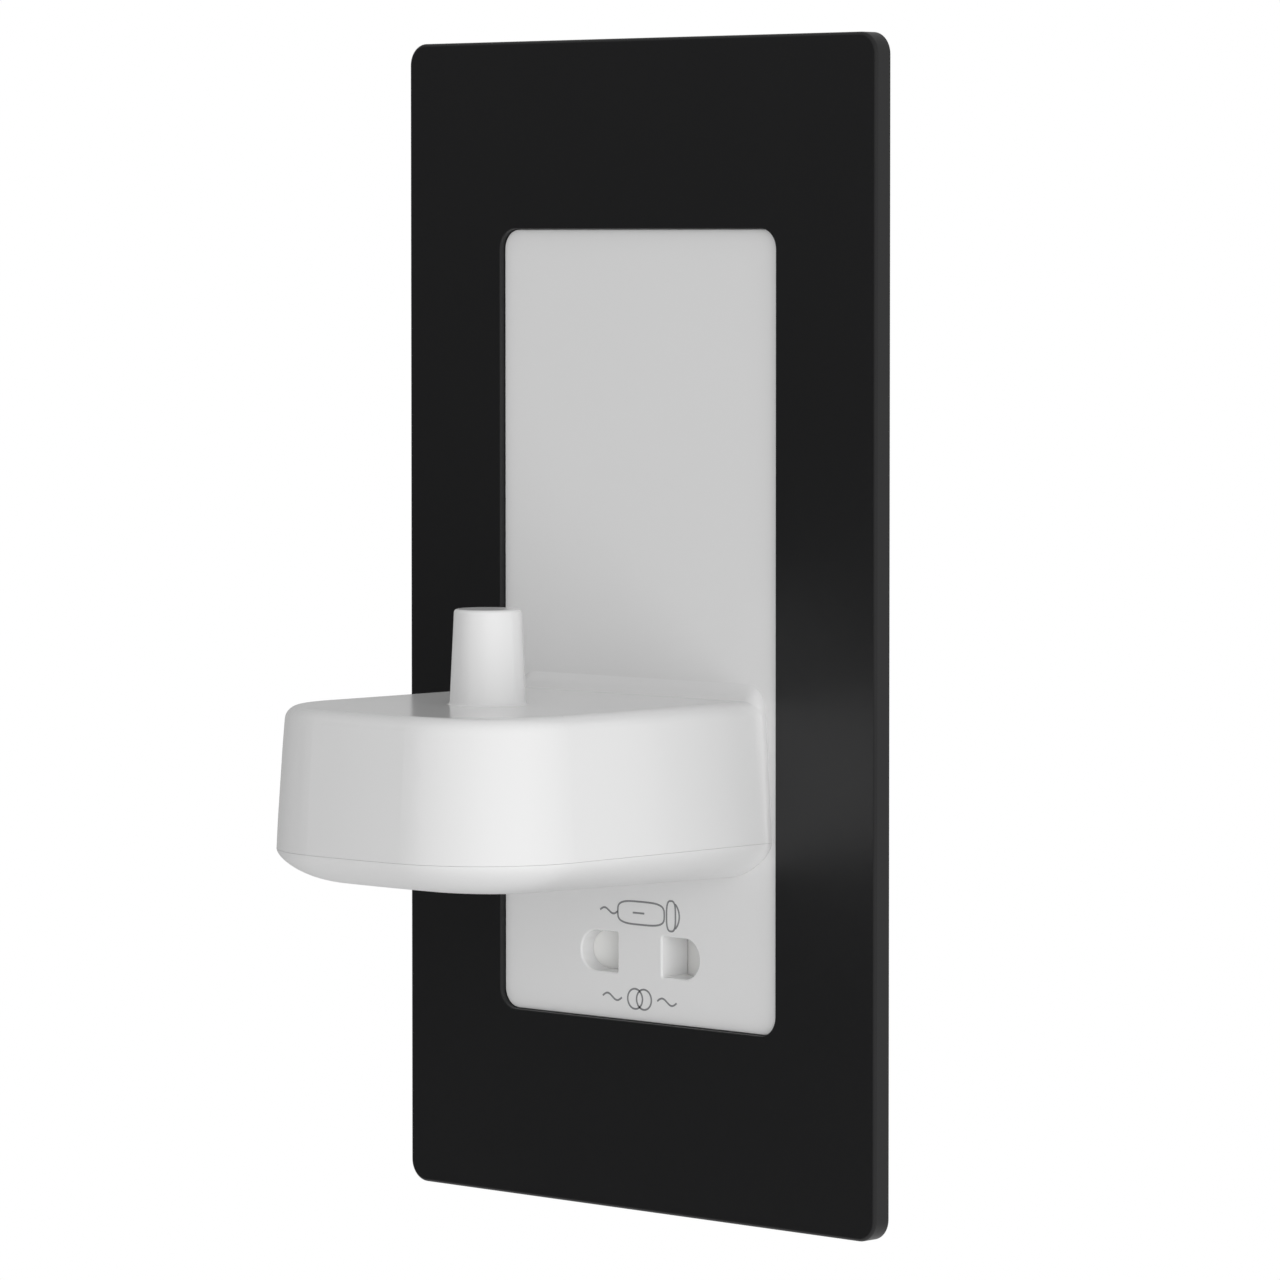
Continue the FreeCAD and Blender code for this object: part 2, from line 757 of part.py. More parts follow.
def shutter():
    """Right-hand shutter blade: a wedge that an entering pin pushes outwards."""
    points = [(shutter_inner, shutter_back), (shutter_inner, ramp_y(shutter_inner)),
              (aperture_outer, shutter_face), (shutter_outer, shutter_face), (shutter_outer, shutter_back)]
    blade = prism(points, plane_xy(aperture_z - shutter_half_height), Vector(0, 0, 2 * shutter_half_height),
                  [shutter_edge] * len(points))
    pocket = Part.makeCylinder(spring_diameter / 2 + spring_clearance, spring_pocket + overshoot,
                               Vector(spring_seat, spring_axis_y, aperture_z), Vector(1, 0, 0))
    return blade.cut(pocket)


def shutter_spring():
    """Compression spring from the bottom of the blade's pocket to the carrier's end wall."""
    length = spring_stop - spring_seat - spring_wire
    mean = (spring_diameter - spring_wire) / 2
    helix = Part.makeHelix(length / spring_turns, length, mean)
    section = Part.Wire(Part.makeCircle(spring_wire / 2, Vector(mean, 0, 0), Vector(0, 1, 0)))
    coil = Part.Wire(helix.Edges).makePipeShell([section], True, True)
    coil.rotate(Vector(0, 0, 0), Vector(0, 1, 0), 90)
    coil.translate(Vector(spring_seat + spring_wire / 2, spring_axis_y, aperture_z))
    return coil


def socket_carrier():
    """Moulding behind the panel: shutter tray in front, contact chambers behind."""
    front = panel_back + cover_gap
    body = slab(2 * carrier_half_width, 2 * carrier_half_height, carrier_corner,
                front, chamber_front, 0, aperture_z)
    tray = block(-spring_stop, spring_stop, front - overshoot, tray_floor,
                 aperture_z - tray_half_height, aperture_z + tray_half_height)
    stop = shutter_inner - shutter_clearance
    divider = block(-stop, stop, ramp_y(aperture_inner - collar_wall) + shutter_clearance, tray_floor + sink,
                    aperture_z - tray_half_height - sink, aperture_z + tray_half_height + sink)
    inner = aperture_inner - chamber_margin
    outer = aperture_outer + chamber_margin
    width = outer - inner
    shell = block(inner - carrier_wall, outer + carrier_wall, chamber_front - sink, carrier_depth,
                  aperture_z - carrier_half_height, aperture_z + carrier_half_height)
    room = block(inner, outer, chamber_front, chamber_back,
                 aperture_z - tray_half_height, aperture_z + tray_half_height)
    entry = slab(width, aperture_height + chamber_margin, chamber_margin, tray_floor - overshoot,
                 chamber_front + overshoot, aperture_middle, aperture_z)
    tail = slab(contact_tail_width + 2 * screw_clearance, contact_sheet + 2 * screw_clearance, 0,
                chamber_back - overshoot, carrier_depth + overshoot, aperture_middle, aperture_z)
    ear_height = carrier_screw_rise + carrier_boss / 2
    ear = slab(carrier_boss, ear_height, carrier_corner, tray_floor, chamber_front, carrier_screw_x,
               aperture_z + ear_height / 2)
    hole = rod_y(carrier_screw + 2 * screw_clearance, carrier_screw_x, carrier_screw_z,
                 tray_floor - overshoot, chamber_front + overshoot)
    body = body.cut(tray).fuse([divider] + both_sides(shell) + both_sides(ear))
    cuts = both_sides(room) + both_sides(entry) + both_sides(tail) + both_sides(hole)
    return body.cut(cuts).removeSplitter()


def contact():
    """Right-hand socket contact: two sprung leaves that pinch a pin from above and below."""
    front = chamber_front + contact_clearance
    base = chamber_back - contact_sheet
    room = shutter_half_height - contact_clearance
    pinch = (front + base - contact_shoulder) / 2
    leaf = [(front, room), (pinch, (contact_gap + contact_sheet) / 2),
            (base - contact_shoulder, room), (base, room)]
    path = leaf + [(y, -z) for y, z in leaf[::-1]]
    outline = [(y, z + aperture_z) for y, z in strip(path, contact_sheet)]
    body = prism(outline, plane_yz(aperture_middle - contact_width / 2), Vector(contact_width, 0, 0))
    tail = slab(contact_tail_width, contact_sheet, 0, base, carrier_depth + contact_tail_length,
                aperture_middle, aperture_z)
    return body.fuse(tail).removeSplitter()


def rear_housing():
    """Two-depth box: a deep bay for the transformer above, a shallow one behind the socket below."""
    bay_height = housing_height / 2 - housing_step_z
    bay_z = (housing_height / 2 + housing_step_z) / 2
    inner_corner = housing_corner - housing_wall
    thick = 2 * housing_wall
    outer = slab(housing_width, housing_height, housing_corner, housing_front, housing_step_depth)
    bay = slab(housing_width, bay_height, housing_corner, housing_front, housing_depth, 0, bay_z)
    outer = outer.fuse(bay).removeSplitter()
    outer = outer.makeFillet(housing_edge, edges_at(outer, lambda p: near(p.y, housing_depth)))
    step = edges_at(outer, lambda p: near(p.y, housing_step_depth) and p.z < housing_step_z - sink)
    outer = outer.makeFillet(housing_edge, step)
    flange = slab(flange_width, flange_height, flange_corner, housing_front, flange_back)
    side = housing_width / 2
    triangle = [(side - sink, flange_back - sink), (side + flange_lip, flange_back - sink),
                (side + flange_lip, flange_back), (side, flange_back + gusset_height),
                (side - sink, flange_back + gusset_height)]
    gussets = []
    for i in range(3):
        rib = prism(triangle, plane_xy(gusset_first_z + i * gusset_pitch), Vector(0, 0, gusset_thickness))
        gussets += both_sides(rib)
    start = housing_front - overshoot
    cuts = [slab(housing_width - thick, housing_height - thick, inner_corner, start, step_back),
            slab(housing_width - thick, bay_height - thick, inner_corner, start, core_back, 0, bay_z)]
    cuts += flange_cuts(start, flange_back + overshoot)
    body = outer.fuse([flange] + gussets).cut(cuts)

    boss = rod_y(2 * (strap_foot / 2 + strap_clearance), strap_screw_x, core_z, strap_seat, core_back + sink)
    pilot = rod_y(screw_diameter + 2 * thread_clearance, strap_screw_x, core_z,
                  strap_seat - overshoot, core_back)
    through = step_back - overshoot, housing_step_depth + overshoot
    supply = rod_y(lead_hole, terminal_pitch, terminal_z, *through)
    peg = rod_y(peg_diameter + 2 * screw_clearance, peg_x, terminal_z, *through)
    body = body.fuse(both_sides(boss)).cut(both_sides(pilot) + both_sides(supply) + both_sides(peg))
    return body.removeSplitter()


def transformer_core():
    low, high = core_z - core_stack / 2, core_z + core_stack / 2
    core = block(-core_width / 2, core_width / 2, core_front, core_back, low, high)
    half_leg = core_leg / 2
    opening = block(half_leg, half_leg + core_window, core_front + half_leg, core_back - half_leg,
                    low - overshoot, high + overshoot)
    return core.cut(both_sides(opening))


def ring(width, height, hole_width, hole_height, corner, y0, y1):
    outer = slab(width, height, corner, y0, y1, 0, core_z)
    return outer.cut(slab(hole_width, hole_height, 0, y0 - overshoot, y1 + overshoot, 0, core_z))


def transformer_former():
    """Split winding former: a square tube with a flange at each end and one between the windings."""
    body = ring(former_hole_x + 2 * former_wall, former_hole_z + 2 * former_wall,
                former_hole_x, former_hole_z, 0, former_front, former_back)
    flanges = [ring(former_width, former_height, former_hole_x, former_hole_z, former_corner,
                    y, y + former_flange)
               for y in (former_front, core_mid - former_flange / 2, former_back - former_flange)]
    return body.fuse(flanges).removeSplitter()


def winding(y0, y1):
    return ring(former_width - 2 * winding_inset, former_height - 2 * winding_inset,
                former_hole_x + 2 * former_wall, former_hole_z + 2 * former_wall, winding_corner, y0, y1)


def transformer_strap():
    """Steel strap over the core, with a screwed foot on each side."""
    half = (core_width + strap_sheet) / 2
    front = core_front - strap_sheet / 2
    seat = strap_seat - strap_sheet / 2
    end = half + strap_sheet / 2 + strap_foot
    path = [(-end, seat), (-half, seat), (-half, front), (half, front), (half, seat), (end, seat)]
    strap = prism(strip(path, strap_sheet), plane_xy(core_z - strap_width / 2), Vector(0, 0, strap_width))
    hole = rod_y(screw_diameter + 2 * screw_clearance, strap_screw_x, core_z,
                 strap_seat - strap_sheet - overshoot, strap_seat + overshoot)
    return strap.cut(both_sides(hole))


def strap_screws():
    screw = pan_screw(strap_screw_x, core_z, strap_seat - strap_sheet, 1, screw_diameter,
                      strap_sheet + strap_boss_height - sink)
    return both_sides(screw)


def thermal_cutout():
    front = core_mid + former_flange / 2
    body = block(-cutout_length / 2, cutout_length / 2, front, front + cutout_width, winding_top,
                 winding_top + cutout_height)
    return body.makeFillet(cutout_edge, body.Edges)


def terminal_places():
    return [i * terminal_pitch for i in (-1, 0, 1)]


def terminal_block():
    """Three chambers, open below for the wires and behind for the screws, on two riveted pegs."""
    front = housing_step_depth
    back = front + terminal_depth
    body = slab(terminal_width, terminal_height, terminal_corner, front, back, 0, terminal_z)
    cuts = [rod_z(lead_hole, 0, clamp_mid, chamber_roof - overshoot, terminal_top + overshoot)]
    cuts += both_sides(rod_y(lead_hole, terminal_pitch, terminal_z, front - overshoot,
                             clamp_front + overshoot))
    half = terminal_chamber / 2
    for x in terminal_places():
        cuts.append(block(x - half, x + half, clamp_front, back - terminal_wall, terminal_z - terminal_height,
                          chamber_roof))
        cuts.append(rod_y(terminal_screw * head_ratio + 2 * terminal_clearance, x, terminal_z,
                          back - terminal_wall - overshoot, back + overshoot))
    peg = rod_y(peg_diameter, peg_x, terminal_z, step_back - peg_head_height / 2, front + sink)
    head = Part.makeCone(peg_head / 2, peg_diameter / 2, peg_head_height,
                         Vector(peg_x, step_back, terminal_z), Vector(0, -1, 0))
    return body.cut(cuts).fuse(both_sides(peg) + both_sides(head)).removeSplitter()


def terminal_clamp(x):
    half = terminal_chamber / 2 - terminal_clearance
    foot = chamber_roof - clamp_height
    clamp = block(x - half, x + half, clamp_front, clamp_back, foot, chamber_roof)
    wire = rod_z(clamp_wire_hole, x, clamp_mid, foot - overshoot, chamber_roof - clamp_roof)
    thread = rod_y(terminal_screw + 2 * thread_clearance, x, terminal_z, clamp_mid, clamp_back + overshoot)
    return clamp.cut([wire, thread])


def terminal_screw_piece(x):
    return pan_screw(x, terminal_z, clamp_back, -1, terminal_screw, terminal_screw_length)


def charger_board():
    """Circuit board that follows the inside of the shelf."""
    outline = shelf_outline(tongue_inset() + tongue_thickness + board_clearance, board_back, board_bottom)
    return Part.Face(outline).extrude(Vector(0, 0, board_thickness))


def coil_parts():
    """Winding former on the board, its coil, and the ferrite rod up through the post."""
    head = shelf_roof - coil_head_gap
    bore = ferrite_diameter + 2 * coil_former_clearance
    tube = bore + 2 * coil_former_wall

    def disc(diameter, z0, z1):
        return rod_z(diameter, 0, post_y, z0, z1)

    low = board_top + coil_former_wall
    high = head - coil_former_wall
    former = disc(tube, board_top, head).fuse([disc(coil_former_diameter, board_top, low),
                                               disc(coil_former_diameter, high, head)])
    former = former.cut(disc(bore, board_top - overshoot, head + overshoot)).removeSplitter()
    coil = disc(coil_diameter, low, high).cut(disc(tube, board_top, head))
    tip = post_top_z - post_cap - ferrite_clearance
    ferrite = disc(ferrite_diameter, board_top, tip)
    end = edges_at(ferrite, lambda p: near(p.z, tip) and on_post_circle(p, ferrite_diameter))
    return former, coil, ferrite.makeFillet(ferrite_edge, end)


def component_place(side):
    """Point on the board beside the coil, towards the panel."""
    x = side * (shelf_half_width - cavity_inset(board_top) - component_margin - film_width / 2)
    return Vector(x, board_back - component_margin - film_length / 2, board_top)


def filter_capacitor():
    """Electrolytic can standing on the board, with its rolled groove."""
    height = shelf_roof - board_top - capacitor_headroom
    r = capacitor_diameter / 2
    g = capacitor_groove
    profile = [(0, 0), (r, 0), (r, 3 * g), (r - g, 4 * g), (r, 5 * g), (r, height), (0, height)]
    wire = rounded_wire(profile, [0, g / 2, g / 2, g / 2, g / 2, g, 0], plane_xz(0))
    can = Part.Face(wire).revolve(Vector(0, 0, 0), Vector(0, 0, 1), 360)
    can.translate(component_place(-1))
    return can


def tuning_capacitor():
    body = block(-film_width / 2, film_width / 2, -film_length / 2, film_length / 2, 0, film_height)
    body = body.makeFillet(film_edge, body.Edges)
    body.translate(component_place(1))
    return body


def driver_chip():
    """Small package with four legs on each side."""
    lift = chip_leg / 2
    body = block(-chip_length / 2, chip_length / 2, -chip_width / 2, chip_width / 2, lift, lift + chip_height)
    legs = []
    for i in range(4):
        x = (i - 1.5) * chip_pitch
        legs.append(block(x - chip_leg / 2, x + chip_leg / 2, -chip_width / 2 - overshoot,
                          chip_width / 2 + overshoot, 0, chip_leg))
    chip = body.fuse(legs).removeSplitter()
    chip.translate(Vector(0, component_place(1).y, board_top))
    return chip


def housing_screws():
    screws = []
    for i, (x, z) in enumerate(screw_places()):
        seat = flange_back + (earth_tag_thickness if i == 0 else 0)
        screws.append(pan_screw(x, z, seat, -1, screw_diameter, seat + yoke_sheet))
    return screws


def carrier_screws():
    return both_sides(pan_screw(carrier_screw_x, carrier_screw_z, chamber_front, -1, carrier_screw,
                                chamber_front - panel_back - sink))


def earth_tag():
    """Ring tag under one housing screw, with a solder tail."""
    x, z = screw_places()[0]
    back = flange_back + earth_tag_thickness
    tail = slab(earth_tail_width, earth_tail_length, sink, flange_back, back, x, z + earth_tail_length / 2)
    hole = rod_y(screw_diameter + 2 * screw_clearance, x, z, flange_back - overshoot, back + overshoot)
    return rod_y(earth_tag_diameter, x, z, flange_back, back).fuse(tail).cut(hole).removeSplitter()


def supply_leads():
    """Mains leads from the outer terminals to the primary winding."""
    y = step_back - lead_diameter
    turn = winding_foot - 2 * lead_bend
    end = former_width / 3
    return both_sides(lead([
        Vector(terminal_pitch, clamp_front, terminal_z), Vector(terminal_pitch, y, terminal_z),
        Vector(terminal_pitch, y, housing_step_z), Vector(end, y, turn), Vector(end, y, winding_foot),
    ]))


def socket_leads():
    """Leads from the secondary winding to the contacts' tails."""
    y0 = former_front + former_flange + lead_spacing
    y1 = carrier_depth + contact_tail_length / 2
    turn = housing_step_z + lead_bend
    return both_sides(lead([
        Vector(aperture_middle, y0, winding_foot), Vector(aperture_middle, y0, turn),
        Vector(aperture_middle, y1, terminal_z), Vector(aperture_middle, y1, aperture_z + contact_sheet / 2),
    ]))


def charger_leads():
    """Leads from the secondary winding through the panel to the charger's board."""
    x = lead_spacing / 2
    y0 = former_front + former_flange + lead_diameter
    y1 = board_back - lead_diameter
    return both_sides(lead([
        Vector(x, y0, winding_foot), Vector(x, y0, lead_window_z),
        Vector(x, y1, lead_window_z), Vector(x, y1, board_top),
    ]))


def earth_lead():
    """Lead from the middle terminal round the outside of the housing to the earth tag."""
    x, z = screw_places()[0]
    y = flange_back + earth_tag_thickness + lead_diameter / 2
    over = (housing_step_z + terminal_top) / 2
    return lead([
        Vector(x, y, z + earth_tail_length), Vector(x, y, over), Vector(x, clamp_mid, over),
        Vector(0, clamp_mid, over), Vector(0, clamp_mid, chamber_roof),
    ])


def export(name, shape):
    """One STEP file per node; a list of like pieces becomes one group of solids."""
    if isinstance(shape, list):
        shape = Part.makeCompound(shape)
    shape.exportStep("parts/" + name + ".step")
    print(name, len(shape.Solids), "solids", round(shape.Volume, 1), "mm3", shape.isValid())


def export_pair(name, shape):
    export(name + "_right", shape)
    export(name + "_left", mirrored(shape))


os.makedirs("parts", exist_ok=True)
coil_former, charging_coil, ferrite_core = coil_parts()
half_flange = former_flange / 2

export("faceplate", faceplate())
export("mounting_yoke", mounting_yoke())
export("front_panel", front_panel())
export("shelf_base_cover", shelf_base_cover())
export("rear_housing", rear_housing())
export("housing_screws", housing_screws())
export("socket_carrier", socket_carrier())
export("carrier_screws", carrier_screws())
export_pair("shutter", shutter())
export_pair("shutter_spring", shutter_spring())
export_pair("contact", contact())
export("transformer_core", transformer_core())
export("transformer_former", transformer_former())
export("secondary_winding", winding(former_front + former_flange, core_mid - half_flange))
export("primary_winding", winding(core_mid + half_flange, former_back - former_flange))
export("transformer_strap", transformer_strap())
export("strap_screws", strap_screws())
export("thermal_cutout", thermal_cutout())
export("terminal_block", terminal_block())
export("terminal_clamps", [terminal_clamp(x) for x in terminal_places()])
export("terminal_screws", [terminal_screw_piece(x) for x in terminal_places()])
export("charger_board", charger_board())
export("coil_former", coil_former)
export("charging_coil", charging_coil)
export("ferrite_core", ferrite_core)
export("filter_capacitor", filter_capacitor())
export("tuning_capacitor", tuning_capacitor())
export("driver_chip", driver_chip())
export("supply_leads", supply_leads())
export("socket_leads", socket_leads())
export("charger_leads", charger_leads())
export("earth_tag", earth_tag())
export("earth_lead", earth_lead())
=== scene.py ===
import json
import math

import bpy
import numpy as np
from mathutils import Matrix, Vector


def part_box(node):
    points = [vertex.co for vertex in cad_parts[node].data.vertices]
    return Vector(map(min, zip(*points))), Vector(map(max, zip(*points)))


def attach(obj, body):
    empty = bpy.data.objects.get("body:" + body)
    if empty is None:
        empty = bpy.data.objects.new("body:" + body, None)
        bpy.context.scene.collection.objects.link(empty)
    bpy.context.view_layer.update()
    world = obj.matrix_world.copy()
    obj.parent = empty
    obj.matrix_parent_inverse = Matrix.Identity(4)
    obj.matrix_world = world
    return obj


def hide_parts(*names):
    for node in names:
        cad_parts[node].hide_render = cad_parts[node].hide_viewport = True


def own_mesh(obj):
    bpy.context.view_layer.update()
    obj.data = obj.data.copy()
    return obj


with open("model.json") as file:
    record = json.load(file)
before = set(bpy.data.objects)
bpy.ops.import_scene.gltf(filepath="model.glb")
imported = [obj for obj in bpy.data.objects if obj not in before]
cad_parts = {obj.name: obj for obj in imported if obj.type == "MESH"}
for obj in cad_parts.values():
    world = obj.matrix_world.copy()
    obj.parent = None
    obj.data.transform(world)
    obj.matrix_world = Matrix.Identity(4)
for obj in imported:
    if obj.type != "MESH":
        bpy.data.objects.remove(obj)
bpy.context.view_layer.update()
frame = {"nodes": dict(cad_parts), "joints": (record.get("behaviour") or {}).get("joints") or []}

bl_info = {
    "name": "Wall shaver socket with charging shelf",
    "version": (1, 0, 0),
    "blender": (4, 5, 0),
    "location": "3D View > Sidebar > Wall unit",
    "description": "Finishes the packed wall unit, prints its marks, winds its springs and sets its stage",
    "category": "Object",
}

MM = 0.001

# Patterns of the finishes: sizes in millimetres, and gloss as a share of the roughness.
FLOW_CELL = 20
PATCH_CELL = 6
SPANGLE_TO_FINE = 8
WIDE_DETAIL = 2.0
FINE_DETAIL = 3.0
SLIGHT_DRIFT = 0.08
STRONG_DRIFT = 0.2

# The wave pattern runs through this many radians in one unit of its scale.
WAVE_RADIANS = 20

# A closed turn's pitch in wire thicknesses, and the steps of the curved surfaces.
CLOSED_PITCH = 1.1
SPRING_STEPS = 32
WIRE_SIDES = 10
TENT_TURNS = 49
TENT_RISES = 25
CARD_STEPS = 25


def linear(code):
    """sRGB hex code as linear red, green, blue and alpha."""
    shares = np.array([int(code[i:i + 2], 16) for i in (1, 3, 5)]) / 255
    low = shares / 12.92
    high = ((shares + 0.055) / 1.055) ** 2.4
    return (*np.where(shares <= 0.04045, low, high).tolist(), 1.0)


def colour_setting(name, description, code):
    return bpy.props.FloatVectorProperty(
        name=name, description=description, default=linear(code), subtype="COLOR", size=4, min=0.0, max=1.0)


def length_setting(name, description, millimetres):
    return bpy.props.FloatProperty(
        name=name, description=description, default=millimetres * MM, unit="LENGTH", precision=5)


def angle_setting(name, description, degrees):
    return bpy.props.FloatProperty(
        name=name, description=description, default=math.radians(degrees), subtype="ANGLE")


class FinishSettings(bpy.types.PropertyGroup):
    """Colours of the mouldings, the print and the metal."""
    white: colour_setting("White moulding", "Panel, shelf and base cover", "#F1F1F1")
    white_cloud: colour_setting("White cloud", "Faint flow marks in the white moulding", "#EFEFEF")
    black: colour_setting("Black plate", "Faceplate", "#1D1D1E")
    black_cloud: colour_setting("Black cloud", "Faint flow marks in the black plate", "#1B1B1C")
    ink: colour_setting("Printed ink", "Marks on the panel", "#87888A")
    housing: colour_setting("Rear housing", "Box behind the wall", "#3A3C3F")
    terminal: colour_setting("Terminal block", "Mains terminals on the back", "#B9BCBE")
    steel: colour_setting("Steel", "Galvanised yoke and strap", "#C3C6C8")
    copper: colour_setting("Copper", "Enamelled winding wire", "#B45A2E")


class MarkSettings(bpy.types.PropertyGroup):
    """Sizes and places of the two printed marks."""
    panel_recess: length_setting("Panel recess", "Panel's face behind the faceplate's face", 0.9)
    line_width: length_setting("Line width", "Width of a printed line", 0.26)
    ink_height: length_setting("Ink height", "How far the ink stands on the panel", 0.02)
    ink_root: length_setting("Ink root", "How far the ink reaches into the panel", 0.01)
    symbol_rise: length_setting("Symbol rise", "Middle of the shaver symbol above the apertures", 5.75)
    symbol_height: length_setting("Symbol height", "Height of the shaver's head in the symbol", 4.2)
    supply_drop: length_setting("Supply drop", "Middle of the supply sign below the apertures", 6.2)
    supply_height: length_setting("Supply height", "Diameter of the circles in the supply sign", 2.8)


class SpringSettings(bpy.types.PropertyGroup):
    """Wire and turns of the two return springs."""
    wire: length_setting("Spring wire", "Diameter of the springs' wire", 0.4)
    turns: bpy.props.FloatProperty(
        name="Turns", description="Turns of a spring, its closed ends among them", default=8.0)
    closed_turns: bpy.props.FloatProperty(
        name="Closed turns", description="Turns that lie close together at each end", default=1.0)


class StageSettings(bpy.types.PropertyGroup):
    """Camera, light, floor, wall board and black card."""
    camera_right: length_setting("Camera right", "Camera to the right of the faceplate's middle", 616.34)
    camera_front: length_setting("Camera front", "Camera in front of the faceplate's face", 655.05)
    camera_up: length_setting("Camera up", "Camera above the faceplate's middle", 53.47)
    azimuth: angle_setting("Azimuth", "Turn of the view to the left of straight at the wall", 43.213)
    tilt: angle_setting("Tilt", "Tilt of the view below level", 2.398)
    lens: bpy.props.FloatProperty(
        name="Lens", description="Focal length on a 36 mm sensor", default=183.71, unit="CAMERA")
    shift: bpy.props.FloatProperty(name="Shift", description="Upward shift of the frame", default=-0.1)
    tent_radius: length_setting("Tent radius", "Light tent round the unit", 6000.0)
    tent_left: bpy.props.FloatProperty(
        name="Tent left", description="Strength of the tent's soft light at its left end", default=0.43)
    tent_right: bpy.props.FloatProperty(
        name="Tent right", description="Strength of the tent's soft light at its right end", default=0.64)
    key_distance: length_setting("Key distance", "Softbox from the unit's middle", 1500.0)
    key_size: length_setting("Key size", "Side of the square softbox", 1600.0)
    key_azimuth: angle_setting("Key azimuth", "Direction of the softbox, right of straight ahead", 62.0)
    key_rise: angle_setting("Key rise", "Height of the softbox above level", -4.0)
    key_power: bpy.props.FloatProperty(
        name="Key power", description="Power of the softbox", default=11.8, unit="POWER")
    floor_drop: length_setting("Floor drop", "Floor below the unit's middle", 1600.0)
    floor_reach: length_setting("Floor reach", "Half the floor's width", 3000.0)
    floor: colour_setting("Floor", "Pale studio floor", "#EEEEEE")
    floor_lift: bpy.props.FloatProperty(
        name="Floor lift", description="Glow that lifts the floor to the background's white", default=0.57)
    floor_mirrored: bpy.props.FloatProperty(
        name="Floor in mirrors", description="Glow of the floor that glossy surfaces mirror", default=0.25)
    wall_gap: length_setting("Wall gap", "Wall board behind the faceplate's rim", 0.3)
    wall_lap: length_setting("Wall lap", "How far the faceplate covers the wall board", 3.0)
    wall_reach: length_setting("Wall reach", "Wall board to the right of the faceplate", 120.0)
    wall_rise: length_setting("Wall rise", "Wall board above and below the faceplate", 60.0)
    card_distance: length_setting("Card distance", "Curved black card from the unit", 700.0)
    card_top: length_setting("Card top", "Top of the black card above the unit's middle", 230.0)
    card_foot: length_setting("Card foot", "Foot of the black card below the unit's middle", 400.0)
    card_middle: angle_setting("Card middle", "Direction of the card's middle, left of straight ahead", 43.0)
    card_spread: angle_setting("Card spread", "Half the angle that the card covers", 25.0)


def per_mm(size):
    """Scale of a noise or Voronoi pattern whose cells are size millimetres across."""
    return 1 / (size * MM)


def per_band(pitch):
    """Scale of a wave pattern with bands pitch millimetres apart."""
    return 2 * math.pi / (WAVE_RADIANS * pitch * MM)


def add(tree, kind, values=None, links=None, **settings):
    """Adds a node with its settings, its sockets' own values and the sockets that feed it."""
    made = tree.nodes.new(kind)
    for name, value in settings.items():
        setattr(made, name, value)
    for socket, value in (values or {}).items():
        made.inputs[socket].default_value = value
    for socket, source in (links or {}).items():
        tree.links.new(source, made.inputs[socket])
    return made


def new_material(name):
    """Empty material; returns it with its node tree and its object coordinates."""
    material = bpy.data.materials.new(name)
    material.use_nodes = True
    tree = material.node_tree
    tree.nodes.clear()
    return material, tree, add(tree, "ShaderNodeTexCoord").outputs["Object"]


def two_colours(tree, factor, first, second):
    """Ramp from the first colour to the second."""
    ramp = add(tree, "ShaderNodeValToRGB", links={"Fac": factor})
    ramp.color_ramp.elements[0].color = first
    ramp.color_ramp.elements[1].color = second
    return ramp.outputs["Color"]


def noise(tree, place, cell, detail):
    """Noise with cells of so many millimetres."""
    values = {"Scale": per_mm(cell), "Detail": detail}
    return add(tree, "ShaderNodeTexNoise", values, {"Vector": place}).outputs["Fac"]


def uneven_gloss(tree, factor, roughness, drift):
    """Roughness that a pattern moves down and up by a share of itself."""
    values = {"To Min": roughness * (1 - drift), "To Max": roughness * (1 + drift)}
    return add(tree, "ShaderNodeMapRange", values, {"Value": factor}).outputs["Result"]


def finish(tree, colour, roughness, height, depth, **constants):
    """Closes a material: its colour and roughness sockets, a bump of depth millimetres, and its constants."""
    bump = add(tree, "ShaderNodeBump", {"Strength": 1.0, "Distance": depth * MM}, {"Height": height})
    values = {name.replace("_", " "): value for name, value in constants.items()}
    shader = add(tree, "ShaderNodeBsdfPrincipled", values,
                 {"Base Color": colour, "Roughness": roughness, "Normal": bump.outputs["Normal"]})
    add(tree, "ShaderNodeOutputMaterial", links={"Surface": shader.outputs["BSDF"]})


def moulded(name, colour, cloud, roughness, grain, depth, **constants):
    """Moulded plastic: the tool's grain as a fine bump, and wide flow marks in colour and gloss.
    The grain's cells and depth are in millimetres."""
    material, tree, place = new_material(name)
    flow = noise(tree, place, FLOW_CELL, WIDE_DETAIL)
    fine = noise(tree, place, grain, FINE_DETAIL)
    gloss = uneven_gloss(tree, flow, roughness, SLIGHT_DRIFT)
    finish(tree, two_colours(tree, flow, colour, cloud), gloss, fine, depth, **constants)
    return material


def plated(name, colour, cloud, roughness, spangle, depth):
    """Plated or rolled metal: cells of crystal or rolling marks that differ a little in shade and gloss."""
    material, tree, place = new_material(name)
    cells = add(tree, "ShaderNodeTexVoronoi", {"Scale": per_mm(spangle)}, {"Vector": place})
    shade = add(tree, "ShaderNodeSeparateColor", links={"Color": cells.outputs["Color"]}).outputs["Red"]
    fine = noise(tree, place, spangle / SPANGLE_TO_FINE, FINE_DETAIL)
    gloss = uneven_gloss(tree, shade, roughness, STRONG_DRIFT)
    finish(tree, two_colours(tree, shade, colour, cloud), gloss, fine, depth, Metallic=1.0)
    return material


